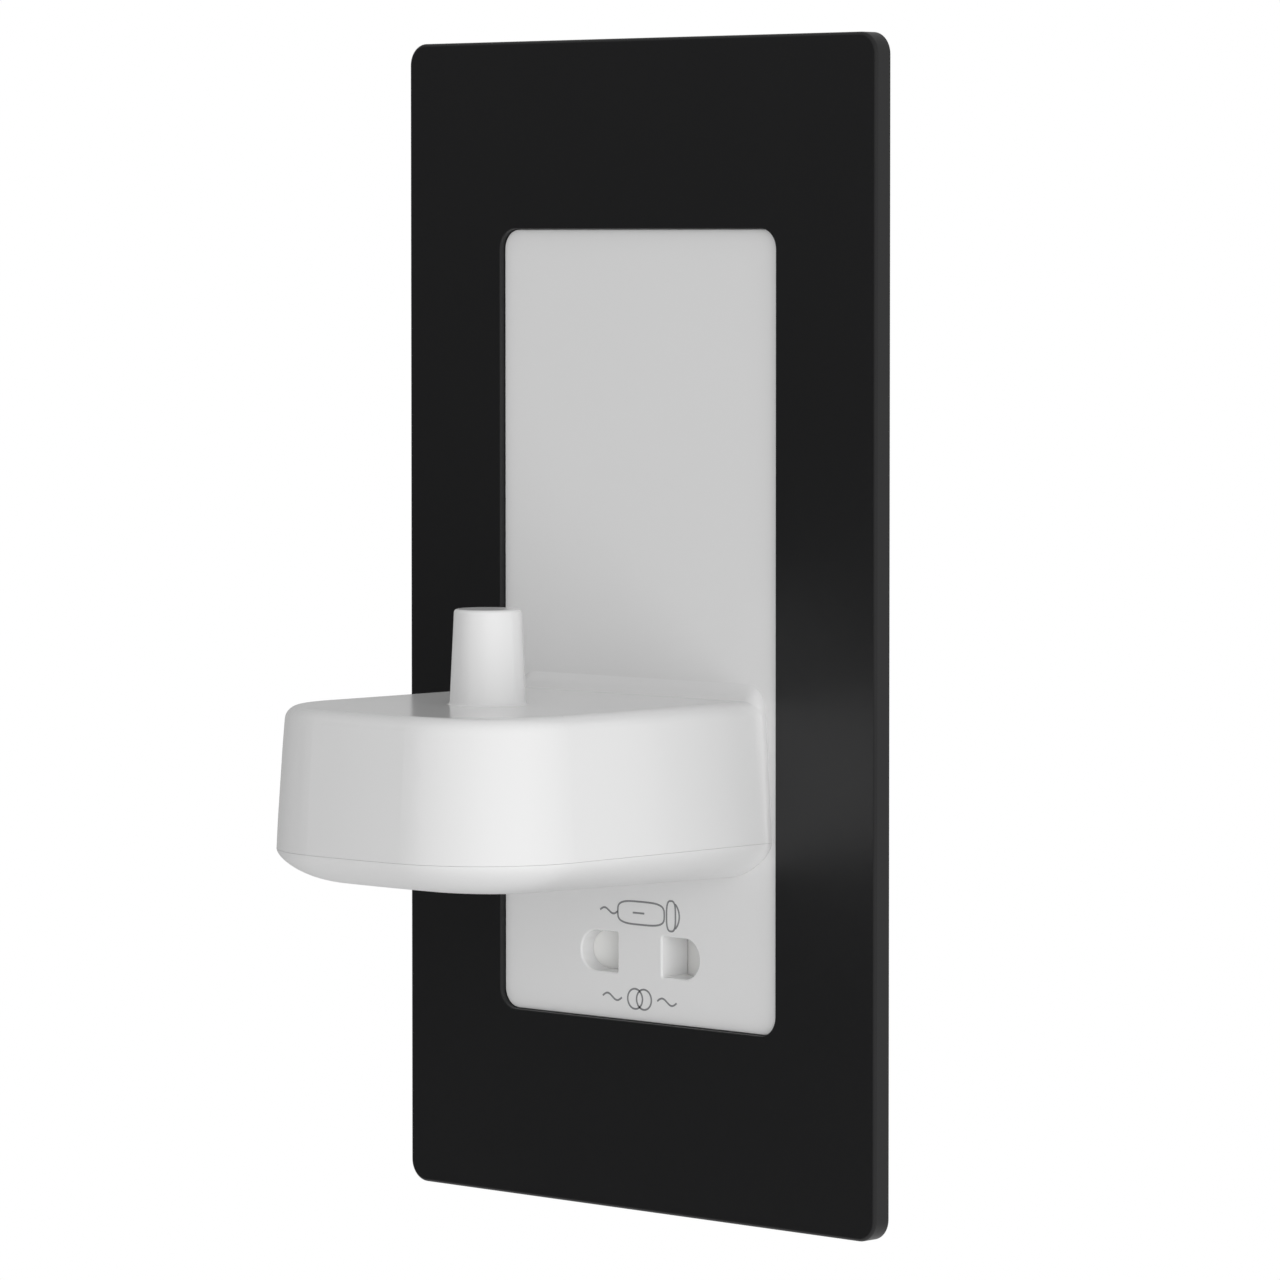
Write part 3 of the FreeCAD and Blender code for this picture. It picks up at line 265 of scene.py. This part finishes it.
def banded(name, colour, gap, roughness, axis, pitch, depth, **constants):
    """Wire turns, stacked sheets or wound colours: bands pitch millimetres apart, in two colours by turns. On
    wire turns the trough colour is painted shade between the turns.
    """
    material, tree, place = new_material(name)
    bands = add(tree, "ShaderNodeTexWave", {"Scale": per_band(pitch), "Distortion": 0.0}, {"Vector": place},
                bands_direction=axis).outputs["Fac"]
    patch = noise(tree, place, PATCH_CELL, WIDE_DETAIL)
    gloss = uneven_gloss(tree, patch, roughness, STRONG_DRIFT)
    finish(tree, two_colours(tree, bands, gap, colour), gloss, bands, depth, **constants)
    return material


def dress(material, *names):
    """Gives a material to CAD nodes."""
    for name in names:
        slots = frame["nodes"][name].data.materials
        slots.clear()
        slots.append(material)


def shared(name, maker, *colours, **sizes):
    """A material that several groups use: made once, then found by its name."""
    return bpy.data.materials.get(name) or maker(name, *colours, **sizes)


def zinc_screw():
    """Bright zinc on small screws: pale blue-grey metal with a slightly uneven gloss."""
    return shared("Zinc plated steel", plated, linear("#C4C7C9"), linear("#AEB2B5"),
                  roughness=0.3, spangle=1.2, depth=0.002)


def galvanised(colour):
    """Hot-dip sheet: grey crystals a few millimetres across that catch the light by turns."""
    return shared("Galvanised steel sheet", plated, colour, linear("#B2B6B9"),
                  roughness=0.42, spangle=3.5, depth=0.002)


def nylon():
    """Black glass-filled nylon: dull, with a mottle of fibres."""
    return shared("Black glass-filled nylon", moulded, linear("#242426"), linear("#2E2E31"),
                  roughness=0.6, grain=0.5, depth=0.006)


def insulation(name, code, cloud):
    """Extruded PVC on wires: smooth and softly shiny."""
    return shared(name, moulded, linear(code), linear(cloud), roughness=0.42, grain=0.8, depth=0.004)


def enamelled(name, copper, axis, pitch):
    """Enamelled wire in close turns: the bump shades each turn, and the dark brown trough colour is painted
    shade between the turns, so each turn shows a lighter copper line.
    """
    # Dark brown #6E2F14 is painted shade in the creases between the turns.
    return banded(name, copper, linear("#6E2F14"), roughness=0.3, axis=axis, pitch=pitch, depth=0.06,
                  Metallic=0.9)


class FinishFront(bpy.types.Operator):
    """Gives the faceplate, the white mouldings and the shutters their finishes"""
    bl_idname = "wall_unit.finish_front"
    bl_label = "Finish the front"

    def execute(self, context):
        colours = context.scene.wall_unit_finish
        # Polished ABS mirrors its surroundings softly at a low angle and looks milky where it faces the eye.
        white = moulded("Polished white ABS", colours.white, colours.white_cloud,
                        roughness=0.18, grain=0.6, depth=0.0003, IOR=1.45)
        dress(white, "front_panel")
        # The cover below the shelf is satin, so light runs softly round its foot with no sharp mirror image.
        satin = moulded("Satin white ABS", colours.white, colours.white_cloud,
                        roughness=0.42, grain=0.6, depth=0.0003, IOR=1.45)
        dress(satin, "shelf_base_cover")
        # Fine satin polycarbonate keeps a black face with a broad, dim sheen.
        black = moulded("Satin black polycarbonate", colours.black, colours.black_cloud,
                        roughness=0.36, grain=0.4, depth=0.0008, IOR=1.45)
        dress(black, "faceplate")
        # Acetal is a purer white, a little duller.
        acetal = moulded("White acetal", linear("#F9F9F7"), linear("#F6F6F4"),
                         roughness=0.3, grain=0.5, depth=0.001, IOR=1.48)
        dress(acetal, "shutter_right", "shutter_left")
        return {"FINISHED"}


def superellipse(middle, half_width, half_height, power, steps=49):
    """Closed path: each half size times the 2/power-th power of the cosine or sine, with its sign."""
    turn = np.linspace(0, 2 * np.pi, steps)
    wide = np.sign(np.cos(turn)) * np.abs(np.cos(turn)) ** (2 / power)
    high = np.sign(np.sin(turn)) * np.abs(np.sin(turn)) ** (2 / power)
    path = np.stack([middle[0] + half_width * wide, middle[1] + half_height * high], axis=1)
    path[-1] = path[0]
    return path


def arc(middle, radius, start, end, steps=17):
    """Part of a circle between two angles in degrees."""
    turn = np.radians(np.linspace(start, end, steps))
    return np.stack([middle[0] + radius * np.cos(turn), middle[1] + radius * np.sin(turn)], axis=1)


def run(start, end):
    """Straight line between two points."""
    return np.array([start, end], float)


def wave(start, length, height, steps=25):
    """One period of a sine along a length."""
    along = np.linspace(0, 1, steps)
    return np.stack([start[0] + length * along, start[1] + height * np.sin(2 * np.pi * along)], axis=1)


def stroke(path, width, front, back):
    """Printed line: a flat rectangle carried along a path on the panel. Each point moves half the width to
    both sides along the path's normal, at the ink's front and at its root. Returns the rectangles' corners,
    and whether the path is closed."""
    closed = np.allclose(path[0], path[-1])
    if closed:
        path = path[:-1]
        ahead = np.roll(path, -1, axis=0) - np.roll(path, 1, axis=0)
    else:
        ahead = np.gradient(path, axis=0)
    ahead = ahead / np.linalg.norm(ahead, axis=1, keepdims=True)
    aside = np.stack([-ahead[:, 1], ahead[:, 0]], axis=1) * width / 2
    sides = np.stack([path + aside, path - aside, path - aside, path + aside], axis=1)
    depths = np.broadcast_to(np.array([front, front, back, back]), sides.shape[:2])
    return np.stack([sides[..., 0], depths, sides[..., 1]], axis=2), closed


def skin(rings, closed, first=0):
    """Faces over rings of points: quads join each ring to the next, and two flat ends close an open run.
    The points are counted from first."""
    count, sides = rings.shape[:2]
    ring = np.arange(count if closed else count - 1)[:, None]
    side = np.arange(sides)[None, :]
    here, there = sides * ring, sides * ((ring + 1) % count)
    beside = (side + 1) % sides
    corners = [here + side, here + beside, there + beside, there + side]
    quads = np.stack(corners, axis=2).reshape(-1, 4) + first
    if closed:
        return quads.tolist()
    near_end = side[0] + first
    far_end = near_end + sides * (count - 1)
    return quads.tolist() + [near_end[::-1].tolist(), far_end.tolist()]


def fitted(name, points, faces, material):
    """New piece that rides on the unit's body, with its material."""
    mesh = bpy.data.meshes.new(name)
    mesh.from_pydata(points.tolist(), [], faces)
    mesh.materials.append(material)
    piece = bpy.data.objects.new(name, mesh)
    bpy.context.scene.collection.objects.link(piece)
    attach(piece, "unit")
    return piece


def print_mark(name, paths, material):
    """One piece from several printed lines, on the panel's face."""
    marks = bpy.context.scene.wall_unit_marks
    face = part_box("faceplate")[0].y + marks.panel_recess
    points, faces, count = [], [], 0
    for path in paths:
        rings, closed = stroke(path, marks.line_width, face - marks.ink_height, face + marks.ink_root)
        points.append(rings.reshape(-1, 3))
        faces += skin(rings, closed, count)
        count += len(points[-1])
    fitted(name, np.concatenate(points), faces, material)


def shaver_lines():
    """Lines of a shaver on its side, in units of its head's height: grip, head, foil, switch and lead."""
    return [
        superellipse((-0.25, 0.0), 1.05, 0.38, 3.6),
        superellipse((1.1, 0.0), 0.2, 0.5, 3.0),
        arc((0.92, 0.0), 0.55, -48, 48),
        run((-0.62, 0.0), (-0.1, 0.0)),
        wave((-2.1, 0.0), 0.8, 0.09),
    ]


def supply_lines():
    """Lines of an isolating transformer's sign, one unit high: two circles that overlap, between two signs of
    alternating current."""
    return [
        superellipse((-0.3, 0.0), 0.5, 0.5, 2.0),
        superellipse((0.3, 0.0), 0.5, 0.5, 2.0),
        wave((-2.5, 0.0), 1.3, 0.16),
        wave((1.2, 0.0), 1.3, 0.16),
    ]


class PrintMarks(bpy.types.Operator):
    """Prints a shaver symbol above the apertures and a supply sign below them"""
    bl_idname = "wall_unit.print_marks"
    bl_label = "Print the marks"

    def execute(self, context):
        marks = context.scene.wall_unit_marks
        # Pad-printed ink is a thin, even, dull grey film.
        ink = moulded("Grey pad-printing ink", context.scene.wall_unit_finish.ink, linear("#8D8E90"),
                      roughness=0.55, grain=0.2, depth=0.001)
        low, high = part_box("shutter_right")
        level = (low.z + high.z) / 2

        def placed(lines, size, height):
            extent = np.concatenate(lines)
            middle = (extent.min(axis=0) + extent.max(axis=0)) / 2
            return [(path - middle) * size + np.array([0.0, height]) for path in lines]

        shaver = placed(shaver_lines(), marks.symbol_height, level + marks.symbol_rise)
        supply = placed(supply_lines(), marks.supply_height, level - marks.supply_drop)
        print_mark("shaver_symbol", shaver, ink)
        print_mark("supply_sign", supply, ink)
        return {"FINISHED"}


class FinishRear(bpy.types.Operator):
    """Gives the box behind the wall, its yoke, terminals and earth lead their finishes"""
    bl_idname = "wall_unit.finish_rear"
    bl_label = "Finish the rear"

    def execute(self, context):
        colours = context.scene.wall_unit_finish
        # Spark-eroded tool texture breaks the light into an even matt grey.
        housing = moulded("Textured grey polycarbonate", colours.housing, linear("#36383B"),
                          roughness=0.58, grain=0.7, depth=0.02)
        dress(housing, "rear_housing")
        dress(galvanised(colours.steel), "mounting_yoke")
        dress(zinc_screw(), "housing_screws", "terminal_screws")
        # Polyamide for terminals is a flat light grey with a dry surface.
        polyamide = moulded("Light grey polyamide", colours.terminal, linear("#B2B5B8"),
                            roughness=0.52, grain=0.5, depth=0.008)
        dress(polyamide, "terminal_block")
        # Turned brass is warm and clean, with fine tool marks.
        brass = plated("Turned brass", linear("#CDA75A"), linear("#B98F45"),
                       roughness=0.28, spangle=0.8, depth=0.002)
        dress(brass, "terminal_clamps")
        # Tin over brass is pale and a little yellow.
        tinned = plated("Tinned brass", linear("#D2CDBE"), linear("#BDB7A5"),
                        roughness=0.34, spangle=1.0, depth=0.002)
        dress(tinned, "earth_tag")
        # Green and yellow insulation winds round the wire, so it shows as slanting bands.
        earth = banded("Green and yellow PVC", linear("#E2C41E"), linear("#2F7D32"),
                       roughness=0.42, axis="DIAGONAL", pitch=4.0, depth=0.002)
        dress(earth, "earth_lead")
        return {"FINISHED"}


class FinishSocket(bpy.types.Operator):
    """Gives the shaver outlet's carrier, contacts and leads their finishes"""
    bl_idname = "wall_unit.finish_socket"
    bl_label = "Finish the shaver outlet"

    def execute(self, context):
        # Unpolished urea moulding is chalky white.
        carrier = moulded("Matt white urea resin", linear("#DADAD6"), linear("#D2D2CE"),
                          roughness=0.5, grain=0.5, depth=0.006)
        dress(carrier, "socket_carrier")
        dress(zinc_screw(), "carrier_screws")
        # Rolled phosphor bronze is reddish gold with a silky gloss.
        bronze = plated("Rolled phosphor bronze", linear("#C48A55"), linear("#B47A48"),
                        roughness=0.32, spangle=1.5, depth=0.002)
        dress(bronze, "contact_right", "contact_left")
        dress(insulation("White PVC", "#DCDCD6", "#D3D3CC"), "socket_leads")
        return {"FINISHED"}


def spring_rings(low, high, wire, turns, closed_turns):
    """Return spring along X in a box: a circle of wire carried along a helix. The helix turns evenly round
    the box's middle line. Along it, it moves about a wire's thickness in each closed turn at the ends, and
    evenly between them. The circle lies across the helix, between its outward direction and the normal to
    that. The first and last half of a wire's thickness keep the wire inside the box."""
    middle = (low + high) / 2
    radius = (high.z - low.z - wire) / 2
    turn = np.linspace(0, turns, round(turns * SPRING_STEPS) + 1)
    from_end = np.array([0.5, 0.5 + CLOSED_PITCH * closed_turns]) * wire
    along = np.interp(turn, [0, closed_turns, turns - closed_turns, turns],
                      np.concatenate([low.x + from_end, high.x - from_end[::-1]]))
    angle = 2 * np.pi * turn
    outward = np.stack([np.zeros_like(angle), np.cos(angle), np.sin(angle)], axis=1)
    level = np.ones_like(along)
    path = radius * outward + np.stack([along, middle.y * level, middle.z * level], axis=1)
    ahead = np.gradient(path, axis=0)
    across = np.cross(ahead / np.linalg.norm(ahead, axis=1, keepdims=True), outward)
    about = 2 * np.pi * np.arange(WIRE_SIDES)[None, :, None] / WIRE_SIDES
    return path[:, None] + wire / 2 * (np.cos(about) * outward[:, None] + np.sin(about) * across[:, None])


class WindSprings(bpy.types.Operator):
    """Winds the two return springs in place of their CAD nodes; they stay fixed to the unit, though in the real
    socket they shorten against the carrier's end walls as their blades slide
    """
    bl_idname = "wall_unit.wind_springs"
    bl_label = "Wind the springs"

    def execute(self, context):
        springs = context.scene.wall_unit_springs
        # Drawn spring wire is dark grey and shiny along its length.
        steel = plated("Drawn spring steel", linear("#9C9EA0"), linear("#8A8C8F"),
                       roughness=0.3, spangle=0.5, depth=0.001)
        for joint in frame["joints"]:
            node = joint["child"].replace("shutter", "shutter_spring")
            low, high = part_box(node)
            rings = spring_rings(low, high, springs.wire, springs.turns, springs.closed_turns)
            name = joint["child"].replace("shutter", "return_spring")
            spring = fitted(name, rings.reshape(-1, 3), skin(rings, closed=False), steel)
            spring.data.shade_smooth()
            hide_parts(node)
            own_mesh(spring)
        return {"FINISHED"}


class FinishTransformer(bpy.types.Operator):
    """Gives the isolating transformer and its mains leads their finishes"""
    bl_idname = "wall_unit.finish_transformer"
    bl_label = "Finish the transformer"

    def execute(self, context):
        colours = context.scene.wall_unit_finish
        # Half-millimetre sheets under varnish show as fine dark lines round the stack.
        core = banded("Varnished steel laminations", linear("#77797C"), linear("#3A3A3C"),
                      roughness=0.45, axis="Z", pitch=0.5, depth=0.02, Metallic=0.8)
        dress(core, "transformer_core")
        # The windings' enamelled turns carry painted shade between them.
        turns = enamelled("Enamelled copper wire", colours.copper, axis="Y", pitch=0.4)
        dress(turns, "primary_winding", "secondary_winding")
        dress(nylon(), "transformer_former")
        dress(galvanised(colours.steel), "transformer_strap")
        dress(zinc_screw(), "strap_screws")
        # The cut-out's case is smooth black phenolic.
        phenolic = moulded("Black phenolic", linear("#1B1B1C"), linear("#232325"),
                           roughness=0.4, grain=0.4, depth=0.003)
        dress(phenolic, "thermal_cutout")
        dress(insulation("Brown PVC", "#6B4327", "#633C22"), "supply_leads")
        return {"FINISHED"}


class FinishCharger(bpy.types.Operator):
    """Gives the charger's board, coil and components inside the shelf their finishes"""
    bl_idname = "wall_unit.finish_charger"
    bl_label = "Finish the charger"

    def execute(self, context):
        colours = context.scene.wall_unit_finish
        # Solder mask is a glassy green over fibre cloth.
        mask = moulded("Green solder mask", linear("#1F6B3A"), linear("#1A5E33"),
                       roughness=0.3, grain=0.9, depth=0.004)
        dress(mask, "charger_board")
        dress(nylon(), "coil_former")
        # The coil's enamelled turns carry painted shade between them.
        dress(enamelled("Enamelled copper coil", colours.copper, axis="Z", pitch=0.5), "charging_coil")
        # Sintered ferrite is a dull charcoal grey with fine pits.
        ferrite = moulded("Sintered ferrite", linear("#3E3F42"), linear("#46474A"),
                          roughness=0.55, grain=0.3, depth=0.006)
        dress(ferrite, "ferrite_core")
        # Shrunk sleeve is dark blue and glossy.
        sleeve = moulded("Blue shrunk sleeve", linear("#1E2A55"), linear("#1A254C"),
                         roughness=0.28, grain=1.0, depth=0.004)
        dress(sleeve, "filter_capacitor")
        # A dipped film capacitor is red, thick and glossy.
        dipped = moulded("Red dipped epoxy", linear("#A32A22"), linear("#93241D"),
                         roughness=0.22, grain=2.0, depth=0.02)
        dress(dipped, "tuning_capacitor")
        # Moulded chip epoxy is black and faintly sandy.
        chip = moulded("Black chip epoxy", linear("#202021"), linear("#28282A"),
                       roughness=0.5, grain=0.3, depth=0.004)
        dress(chip, "driver_chip")
        dress(insulation("Red PVC", "#A32A2A", "#962525"), "charger_leads")
        return {"FINISHED"}


def sheet(name, points, material):
    """Stage surface from a grid of points, in rows; its quads join neighbouring rows."""
    rows, columns = points.shape[:2]
    corner = (np.arange(rows - 1)[:, None] * columns + np.arange(columns - 1)[None, :]).reshape(-1)
    quads = np.stack([corner, corner + 1, corner + columns + 1, corner + columns], axis=1)
    mesh = bpy.data.meshes.new(name)
    mesh.from_pydata(points.reshape(-1, 3).tolist(), [], quads.tolist())
    mesh.materials.append(material)
    made = bpy.data.objects.new(name, mesh)
    bpy.context.scene.collection.objects.link(made)
    return made


class SetStage(bpy.types.Operator):
    """Sets a white wall board, a pale floor, a light tent with a softbox and a black card, and the camera"""
    bl_idname = "wall_unit.set_stage"
    bl_label = "Set the stage"

    def execute(self, context):
        scene = context.scene
        stage = scene.wall_unit_stage
        self.surroundings(scene)
        self.wall(stage)
        self.floor(stage)
        self.tent(stage)
        self.softbox(scene, stage)
        self.card(stage)
        self.camera(scene, stage)
        scene.view_settings.view_transform = "Standard"
        return {"FINISHED"}

    def surroundings(self, scene):
        """White all round, outside the tent."""
        world = bpy.data.worlds.new("White surroundings")
        world.use_nodes = True
        tree = world.node_tree
        tree.nodes.clear()
        light = add(tree, "ShaderNodeBackground", {"Color": linear("#FFFFFF"), "Strength": 1.0})
        add(tree, "ShaderNodeOutputWorld", links={"Surface": light.outputs["Background"]})
        scene.world = world

    def wall(self, stage):
        """White board in the plane of the wall, on the camera's side of the faceplate, where it covers the
        rear box as a wall would. It gives no light, is clear from behind and ends near the faceplate, so that
        the rear shows from the sides, from above and from behind."""
        material, tree, _ = new_material("White wall paper")
        white = add(tree, "ShaderNodeEmission", {"Color": linear("#FFFFFF"), "Strength": 1.0})
        clear = add(tree, "ShaderNodeBsdfTransparent")
        behind = add(tree, "ShaderNodeNewGeometry").outputs["Backfacing"]
        side = add(tree, "ShaderNodeMixShader", links={0: behind, 1: white.outputs[0], 2: clear.outputs[0]})
        add(tree, "ShaderNodeOutputMaterial", links={"Surface": side.outputs[0]})
        low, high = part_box("faceplate")
        x, z = np.meshgrid([high.x - stage.wall_lap, high.x + stage.wall_reach],
                           [low.z - stage.wall_rise, high.z + stage.wall_rise])
        paper = sheet("white_wall", np.stack([x, np.full_like(x, stage.wall_gap), z], axis=2), material)
        paper.visible_diffuse = paper.visible_glossy = False
        paper.visible_transmission = paper.visible_shadow = False

    def floor(self, stage):
        """Level square whose glow lifts it to the background's white but leaves its shadows."""
        material, tree, _ = new_material("Pale studio floor")
        rays = add(tree, "ShaderNodeLightPath").outputs
        mirrored = add(tree, "ShaderNodeMath", operation="MAXIMUM",
                       links={0: rays["Is Glossy Ray"], 1: rays["Is Transmission Ray"]})
        glow = add(tree, "ShaderNodeMath", {1: stage.floor_mirrored}, {0: mirrored.outputs[0]},
                   operation="MULTIPLY")
        lift = add(tree, "ShaderNodeMath", {1: stage.floor_lift},
                   {0: rays["Is Camera Ray"], 2: glow.outputs[0]}, operation="MULTIPLY_ADD")
        shader = add(tree, "ShaderNodeBsdfPrincipled",
                     {"Base Color": stage.floor, "Roughness": 0.9, "Emission Color": linear("#FFFFFF")},
                     {"Emission Strength": lift.outputs[0]})
        add(tree, "ShaderNodeOutputMaterial", links={"Surface": shader.outputs["BSDF"]})
        across = np.linspace(-stage.floor_reach, stage.floor_reach, 2)
        x, y = np.meshgrid(across, across)
        sheet("studio_floor", np.stack([x, y, np.full_like(x, -stage.floor_drop)], axis=2), material)

    def tent(self, stage):
        """Sphere of glowing cloth, brighter towards the right; the camera looks through it."""
        material, tree, place = new_material("Light tent cloth")
        across = add(tree, "ShaderNodeSeparateXYZ", links={"Vector": place}).outputs["X"]
        strength = add(tree, "ShaderNodeMapRange",
                       {"From Min": -stage.tent_radius, "From Max": stage.tent_radius,
                        "To Min": stage.tent_left, "To Max": stage.tent_right}, {"Value": across})
        glow = add(tree, "ShaderNodeEmission", {"Color": linear("#FFFFFF")},
                   {"Strength": strength.outputs["Result"]})
        add(tree, "ShaderNodeOutputMaterial", links={"Surface": glow.outputs[0]})
        turn, rise = np.meshgrid(np.linspace(0, 2 * np.pi, TENT_TURNS),
                                 np.linspace(-np.pi / 2, np.pi / 2, TENT_RISES))
        points = np.stack([np.cos(rise) * np.cos(turn), np.cos(rise) * np.sin(turn), np.sin(rise)], axis=2)
        sheet("light_tent", points * stage.tent_radius, material).visible_camera = False

    def softbox(self, scene, stage):
        """Large square lamp at the right of the front, turned to the unit; glossy surfaces don't mirror it."""
        lamp = bpy.data.lights.new("Softbox", "AREA")
        lamp.size = stage.key_size
        lamp.energy = stage.key_power
        softbox = bpy.data.objects.new("Softbox", lamp)
        level = stage.key_distance * math.cos(stage.key_rise)
        softbox.location = (level * math.sin(stage.key_azimuth), -level * math.cos(stage.key_azimuth),
                            stage.key_distance * math.sin(stage.key_rise))
        softbox.rotation_euler = (math.pi / 2 - stage.key_rise, 0.0, stage.key_azimuth)
        softbox.visible_camera = softbox.visible_glossy = False
        scene.collection.objects.link(softbox)

    def card(self, stage):
        """Upright part of a cylinder at the left of the front that only the unit's glossy surfaces see."""
        material, tree, _ = new_material("Black velvet card")
        shader = add(tree, "ShaderNodeBsdfPrincipled", {"Base Color": linear("#2A2A2A"), "Roughness": 1.0})
        add(tree, "ShaderNodeOutputMaterial", links={"Surface": shader.outputs["BSDF"]})
        first, last = stage.card_middle - stage.card_spread, stage.card_middle + stage.card_spread
        turn, height = np.meshgrid(np.linspace(first, last, CARD_STEPS),
                                   np.linspace(-stage.card_foot, stage.card_top, 2))
        x, y = -np.sin(turn) * stage.card_distance, -np.cos(turn) * stage.card_distance
        card = sheet("black_card", np.stack([x, y, height], axis=2), material)
        card.visible_camera = card.visible_diffuse = card.visible_shadow = False

    def camera(self, scene, stage):
        """Long lens at the right of the front, aimed by its azimuth and tilt."""
        data = bpy.data.cameras.new("Camera")
        data.sensor_width = 36.0
        data.lens = stage.lens
        data.shift_y = stage.shift
        data.clip_start = 0.01
        camera = bpy.data.objects.new("Camera", data)
        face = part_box("faceplate")[0].y
        camera.location = (stage.camera_right, face - stage.camera_front, stage.camera_up)
        camera.rotation_euler = (math.pi / 2 - stage.tilt, 0.0, stage.azimuth)
        scene.collection.objects.link(camera)
        scene.camera = camera


class WallUnitPanel(bpy.types.Panel):
    """Lists the steps that dress the unit, and their settings"""
    bl_idname = "VIEW3D_PT_wall_unit"
    bl_label = "Wall unit"
    bl_space_type = "VIEW_3D"
    bl_region_type = "UI"
    bl_category = "Wall unit"

    def draw(self, context):
        for step in STEPS:
            self.layout.operator(step.bl_idname)
        scene = context.scene
        groups = (scene.wall_unit_finish, scene.wall_unit_marks, scene.wall_unit_springs, scene.wall_unit_stage)
        for group in groups:
            box = self.layout.box()
            for setting in group.bl_rna.properties:
                if not setting.is_readonly:
                    box.prop(group, setting.identifier)


STEPS = (
    FinishFront, PrintMarks, FinishRear, FinishSocket, WindSprings, FinishTransformer, FinishCharger, SetStage)
CLASSES = (FinishSettings, MarkSettings, SpringSettings, StageSettings, *STEPS, WallUnitPanel)


def register():
    for item in CLASSES:
        bpy.utils.register_class(item)
    bpy.types.Scene.wall_unit_finish = bpy.props.PointerProperty(type=FinishSettings)
    bpy.types.Scene.wall_unit_marks = bpy.props.PointerProperty(type=MarkSettings)
    bpy.types.Scene.wall_unit_springs = bpy.props.PointerProperty(type=SpringSettings)
    bpy.types.Scene.wall_unit_stage = bpy.props.PointerProperty(type=StageSettings)


def unregister():
    del bpy.types.Scene.wall_unit_stage
    del bpy.types.Scene.wall_unit_springs
    del bpy.types.Scene.wall_unit_marks
    del bpy.types.Scene.wall_unit_finish
    for item in reversed(CLASSES):
        bpy.utils.unregister_class(item)


def main():
    register()
    bpy.ops.wall_unit.finish_front()
    bpy.ops.wall_unit.print_marks()
    bpy.ops.wall_unit.finish_rear()
    bpy.ops.wall_unit.finish_socket()
    bpy.ops.wall_unit.wind_springs()
    bpy.ops.wall_unit.finish_transformer()
    bpy.ops.wall_unit.finish_charger()
    bpy.ops.wall_unit.set_stage()


if __name__ == "__main__":
    main()
